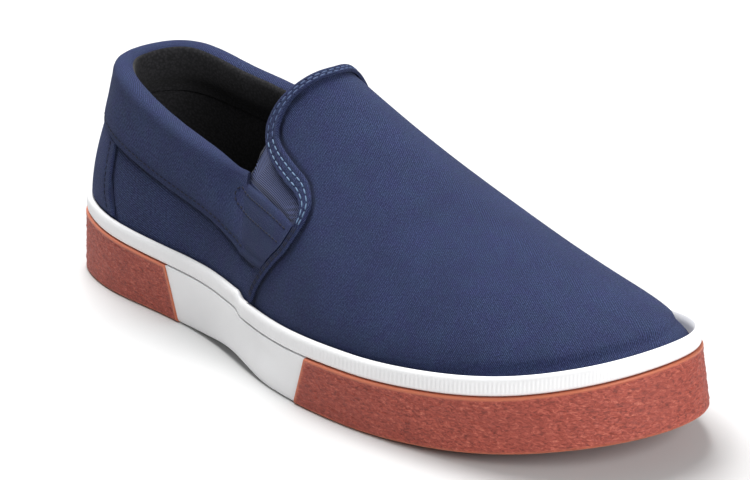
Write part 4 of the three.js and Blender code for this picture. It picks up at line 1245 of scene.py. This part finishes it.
def along_rows(values, at, smooth):
    """Smooth curve or straight runs through listed rows, at running from 0 to 1 over the list."""
    values = np.array([np.broadcast_to(row, at.shape) for row in values])
    place = at * (len(values) - 1)
    i = np.clip(np.floor(place).astype(int), 0, len(values) - 2)
    u = place - i
    a, b, c, d = (
        values[np.clip(i + k, 0, len(values) - 1), np.arange(len(at))] for k in (-1, 0, 1, 2))
    if not smooth:
        return b + (c - b) * u
    return b + 0.5 * u * (c - a + u * (2 * a - 5 * b + 4 * c - d + u * (3 * (b - c) + d - a)))


CUFF_OUT = 40
CUFF_BACK = 8


def cuff_place(i, j):
    """The cuff from its hem up over the padding and the rim, down inside, and back behind."""
    turn = (2 * i - 1) * GORE_START
    wall = UPPER_WALL + GAP
    low = rise_to_up(turn, hem_level(turn))
    pad = collar_thickness(turn, 1.0)
    roll = COLLAR_ROLL * (1 - 0.7 * smoothstep(np.abs(turn), GORE_START - 0.02, GORE_START))

    def level(share):
        return low + (1 - low) * share

    # Rows of up the last, height off it, and beyond the opening's edge
    outside = [
        (level(0.015), GAP + 0.45, 0), (level(0), GAP + 0.75, 0),
        (level(0.02), GAP + collar_thickness(turn, 0.03), 0)]
    for share in (0.1, 0.2, 0.4, 0.65, 0.85, 1):
        outside.append((level(share), GAP + collar_thickness(turn, share), 0))
    outside += [
        (1, GAP + 0.62 * pad, 0.74 * roll), (1, -UPPER_WALL / 2, roll),
        (1, -wall - 0.62 * pad, 0.74 * roll), (0.98, -wall - pad, 0), (0.86, -wall - pad, 0),
        (0.78, -wall - 0.8 * COLLAR_HEM, 0), (0.72, -wall - 0.3, 0)]
    back = [
        (0.72, -wall, 0), (0.86, -wall, 0), (1, -wall, 0), (1, -UPPER_WALL / 2, 0.5), (1, GAP, 0),
        (level(0.3), GAP, 0), (level(0.09), GAP, 0), (level(0.015), GAP + 0.45, 0)]
    row = j * (CUFF_OUT + CUFF_BACK)
    first = np.clip(row / CUFF_OUT, 0, 1)
    second = np.clip((row - CUFF_OUT - 1) / (CUFF_BACK - 1), 0, 1)
    up, offset, beyond = (
        np.where(row <= CUFF_OUT + 0.5, along_rows(out, first, True), along_rows(rear, second, False))
        for out, rear in zip(zip(*outside), zip(*back)))
    point = off_last(turn, up, offset, beyond)
    soft = np.array([noise.fractal(Vector(p * 0.05), 0.8, 2.0, 3) for p in point])
    swell = np.where(first < 0.95, 0.3 * soft * np.clip(first * 4, 0, 1), 0) * (row <= CUFF_OUT)
    return point + last_frame(turn, up)[2] * swell[:, None]


cuff_mesh = laid_grid(
    420, CUFF_OUT + CUFF_BACK, cuff_place, (False, True),
    uv=lambda i, j: np.stack([i * 290, j * 70], -1),
    inside=lambda i, j: 0.6 < j < 0.86 and 0.09 < i < 0.91)

BINDING_AT_HEM = 0.13


def collar_end_place(inner):
    """Places on the flat end of the collar, between hem, gore and binding."""
    lap = GORE_START - 0.01

    def own_side(turn):
        return 1 - turn if inner else turn

    def binding_side(share):
        half = BINDING_AT_HEM + (BINDING_AT_GORE_FOOT - BINDING_AT_HEM) * share
        at = 2 - half if inner else half
        return step_on_last(*binding_edge(at), binding_across(at), -2 * GAP)

    low_turn, low_up = (float(v[0]) for v in binding_side(np.zeros(1)))
    high_turn, high_up = (float(v[0]) for v in binding_side(np.ones(1)))
    hem_end = own_side(low_turn)

    def hem_at(share):
        turn = own_side(lap + (hem_end - lap) * share)
        end = rise_to_up(np.array([low_turn]), hem_level(np.array([low_turn])))[0]
        return turn, rise_to_up(turn, hem_level(turn)) + (low_up - end) * share

    def gore_at(share):
        turn = own_side(collar_edge_turn(share))
        up = rise_to_up(turn, collar_edge_rise(share))
        last_turn = own_side(COLLAR_EDGE_TURN[-1])
        last_up = rise_to_up(np.array([last_turn]), COLLAR_EDGE_RISE[-1])[0]
        shift = (1 if inner else -1) * (GORE_START - lap) * (1 - share)
        return turn + shift + (high_turn - last_turn) * share, up + (high_up - last_up) * share

    def spot(s, t):
        hem, gore, side = hem_at(s), gore_at(s), binding_side(t)
        hem_0, gore_0 = hem_at(0 * s), gore_at(0 * s)
        hem_1, gore_1 = hem_at(0 * s + 1), gore_at(0 * s + 1)
        out = []
        for c in range(2):
            across = hem[c] + (gore[c] - hem[c]) * t
            cuff_side = hem_0[c] + (gore_0[c] - hem_0[c]) * t
            along = cuff_side + (side[c] - cuff_side) * s
            far = hem_1[c] + (gore_1[c] - hem_1[c]) * t
            out.append(across + along - (cuff_side + (far - cuff_side) * s))
        return out

    return spot


def collar_end_mesh(inner):
    """The flat end, with two stitched furrows and a dip where it slips under the cuff."""
    spot = collar_end_place(inner)

    def place(i, j):
        share, behind = patch_rows(j)
        turn, up = spot(i, share)
        edge = np.clip(np.minimum(share, 1 - share) / 0.06, 0, 1) ** 0.5
        rows = 0.16 * (np.exp(-(((share - 0.9) / 0.03) ** 2)) + np.exp(-(((share - 0.68) / 0.03) ** 2)))
        height = GAP + 0.15 + collar_thickness(turn, share) * (0.45 + 0.55 * edge) - rows
        height = height - 0.4 * (1 - smoothstep(i, 0, 0.14))
        return off_last(turn, up, np.where(behind, GAP + 0.15, height))

    return laid_grid(
        90, PATCH_ROWS + 4, place, (False, True),
        uv=lambda i, j: np.stack([i * 60 + 290, j * 60], -1))


collar = made_piece("collar_looks", cuff_mesh, [canvas, lining], sharp=70)
for inner in (False, True):
    end = made_piece("collar_end", collar_end_mesh(inner), [canvas, lining], sharp=70)
    joined = bmesh.new()
    joined.from_mesh(collar.data)
    joined.from_mesh(end.data)
    joined.to_mesh(collar.data)
    joined.free()
    bpy.data.objects.remove(end)
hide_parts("collar")

hem_run = np.linspace(-GORE_START + 0.004, GORE_START - 0.004, 600)
hem_up = rise_to_up(hem_run, hem_level(hem_run))
hem_up = hem_up + (1 - hem_up) * 0.13
sewn_row("collar_hem_stitches", collar, hem_run, hem_up, 2.8, 2.1, 0.5, dark_thread)
# Two rows along each gore, joined beside the cuff by an arc
for name, inner in (("outer", False), ("inner", True)):
    spot = collar_end_place(inner)
    run = np.linspace(0.97, 0.0, 60)
    upper_row, lower_row = (np.array(spot(run, np.full_like(run, share))) for share in (0.88, 0.64))
    bend = np.linspace(0, np.pi, 20)[1:-1]
    middle = (upper_row[:, -1:] + lower_row[:, -1:]) / 2
    arc = middle + (upper_row[:, -1:] - middle) * np.cos(bend)
    arc[0] -= (-1 if inner else 1) * 0.012 * np.sin(bend)
    turn, up = np.concatenate([upper_row, arc, lower_row[:, ::-1]], axis=1)
    sewn_row(f"collar_gore_stitches_{name}", collar, turn, up, 2.4, 1.8, 0.6, dark_thread)

# Floor, light and air
# A pale matt studio floor, one large soft light high up behind the heel on the inner side, a weaker
# one in front of the toe, and a little light from all around.
floor_mesh = bmesh.new()
bmesh.ops.create_grid(floor_mesh, x_segments=1, y_segments=1, size=6)
floor_data = bpy.data.meshes.new("floor")
floor_mesh.to_mesh(floor_data)
floor_mesh.free()
floor = bpy.data.objects.new("floor", floor_data)
bpy.context.collection.objects.link(floor)
floor_paint, tree, shader = new_material("pale_floor")
shader.inputs["Base Color"].default_value = linear("#c8c8c8")
shader.inputs["Roughness"].default_value = 0.9
shader.inputs["Specular IOR Level"].default_value = 0.1
floor_data.materials.append(floor_paint)

world = bpy.data.worlds.new("studio")
bpy.context.scene.world = world
world.use_nodes = True
world.node_tree.nodes["Background"].inputs["Color"].default_value = (1, 1, 1, 1)
world.node_tree.nodes["Background"].inputs["Strength"].default_value = 0.23

for name, place, size, power in (
    ("key", (-0.75, 0.3, 1.75), 1.1, 63),
    ("front", (1.6, -0.25, 1.0), 1.0, 26),
):
    lamp = bpy.data.lights.new(name, "AREA")
    lamp.size = size
    lamp.energy = power
    light = bpy.data.objects.new(name, lamp)
    light.location = place
    light.rotation_mode = "QUATERNION"
    light.rotation_quaternion = (-Vector(place)).to_track_quat("-Z", "Y")
    bpy.context.collection.objects.link(light)
bpy.context.scene.view_settings.view_transform = "Standard"
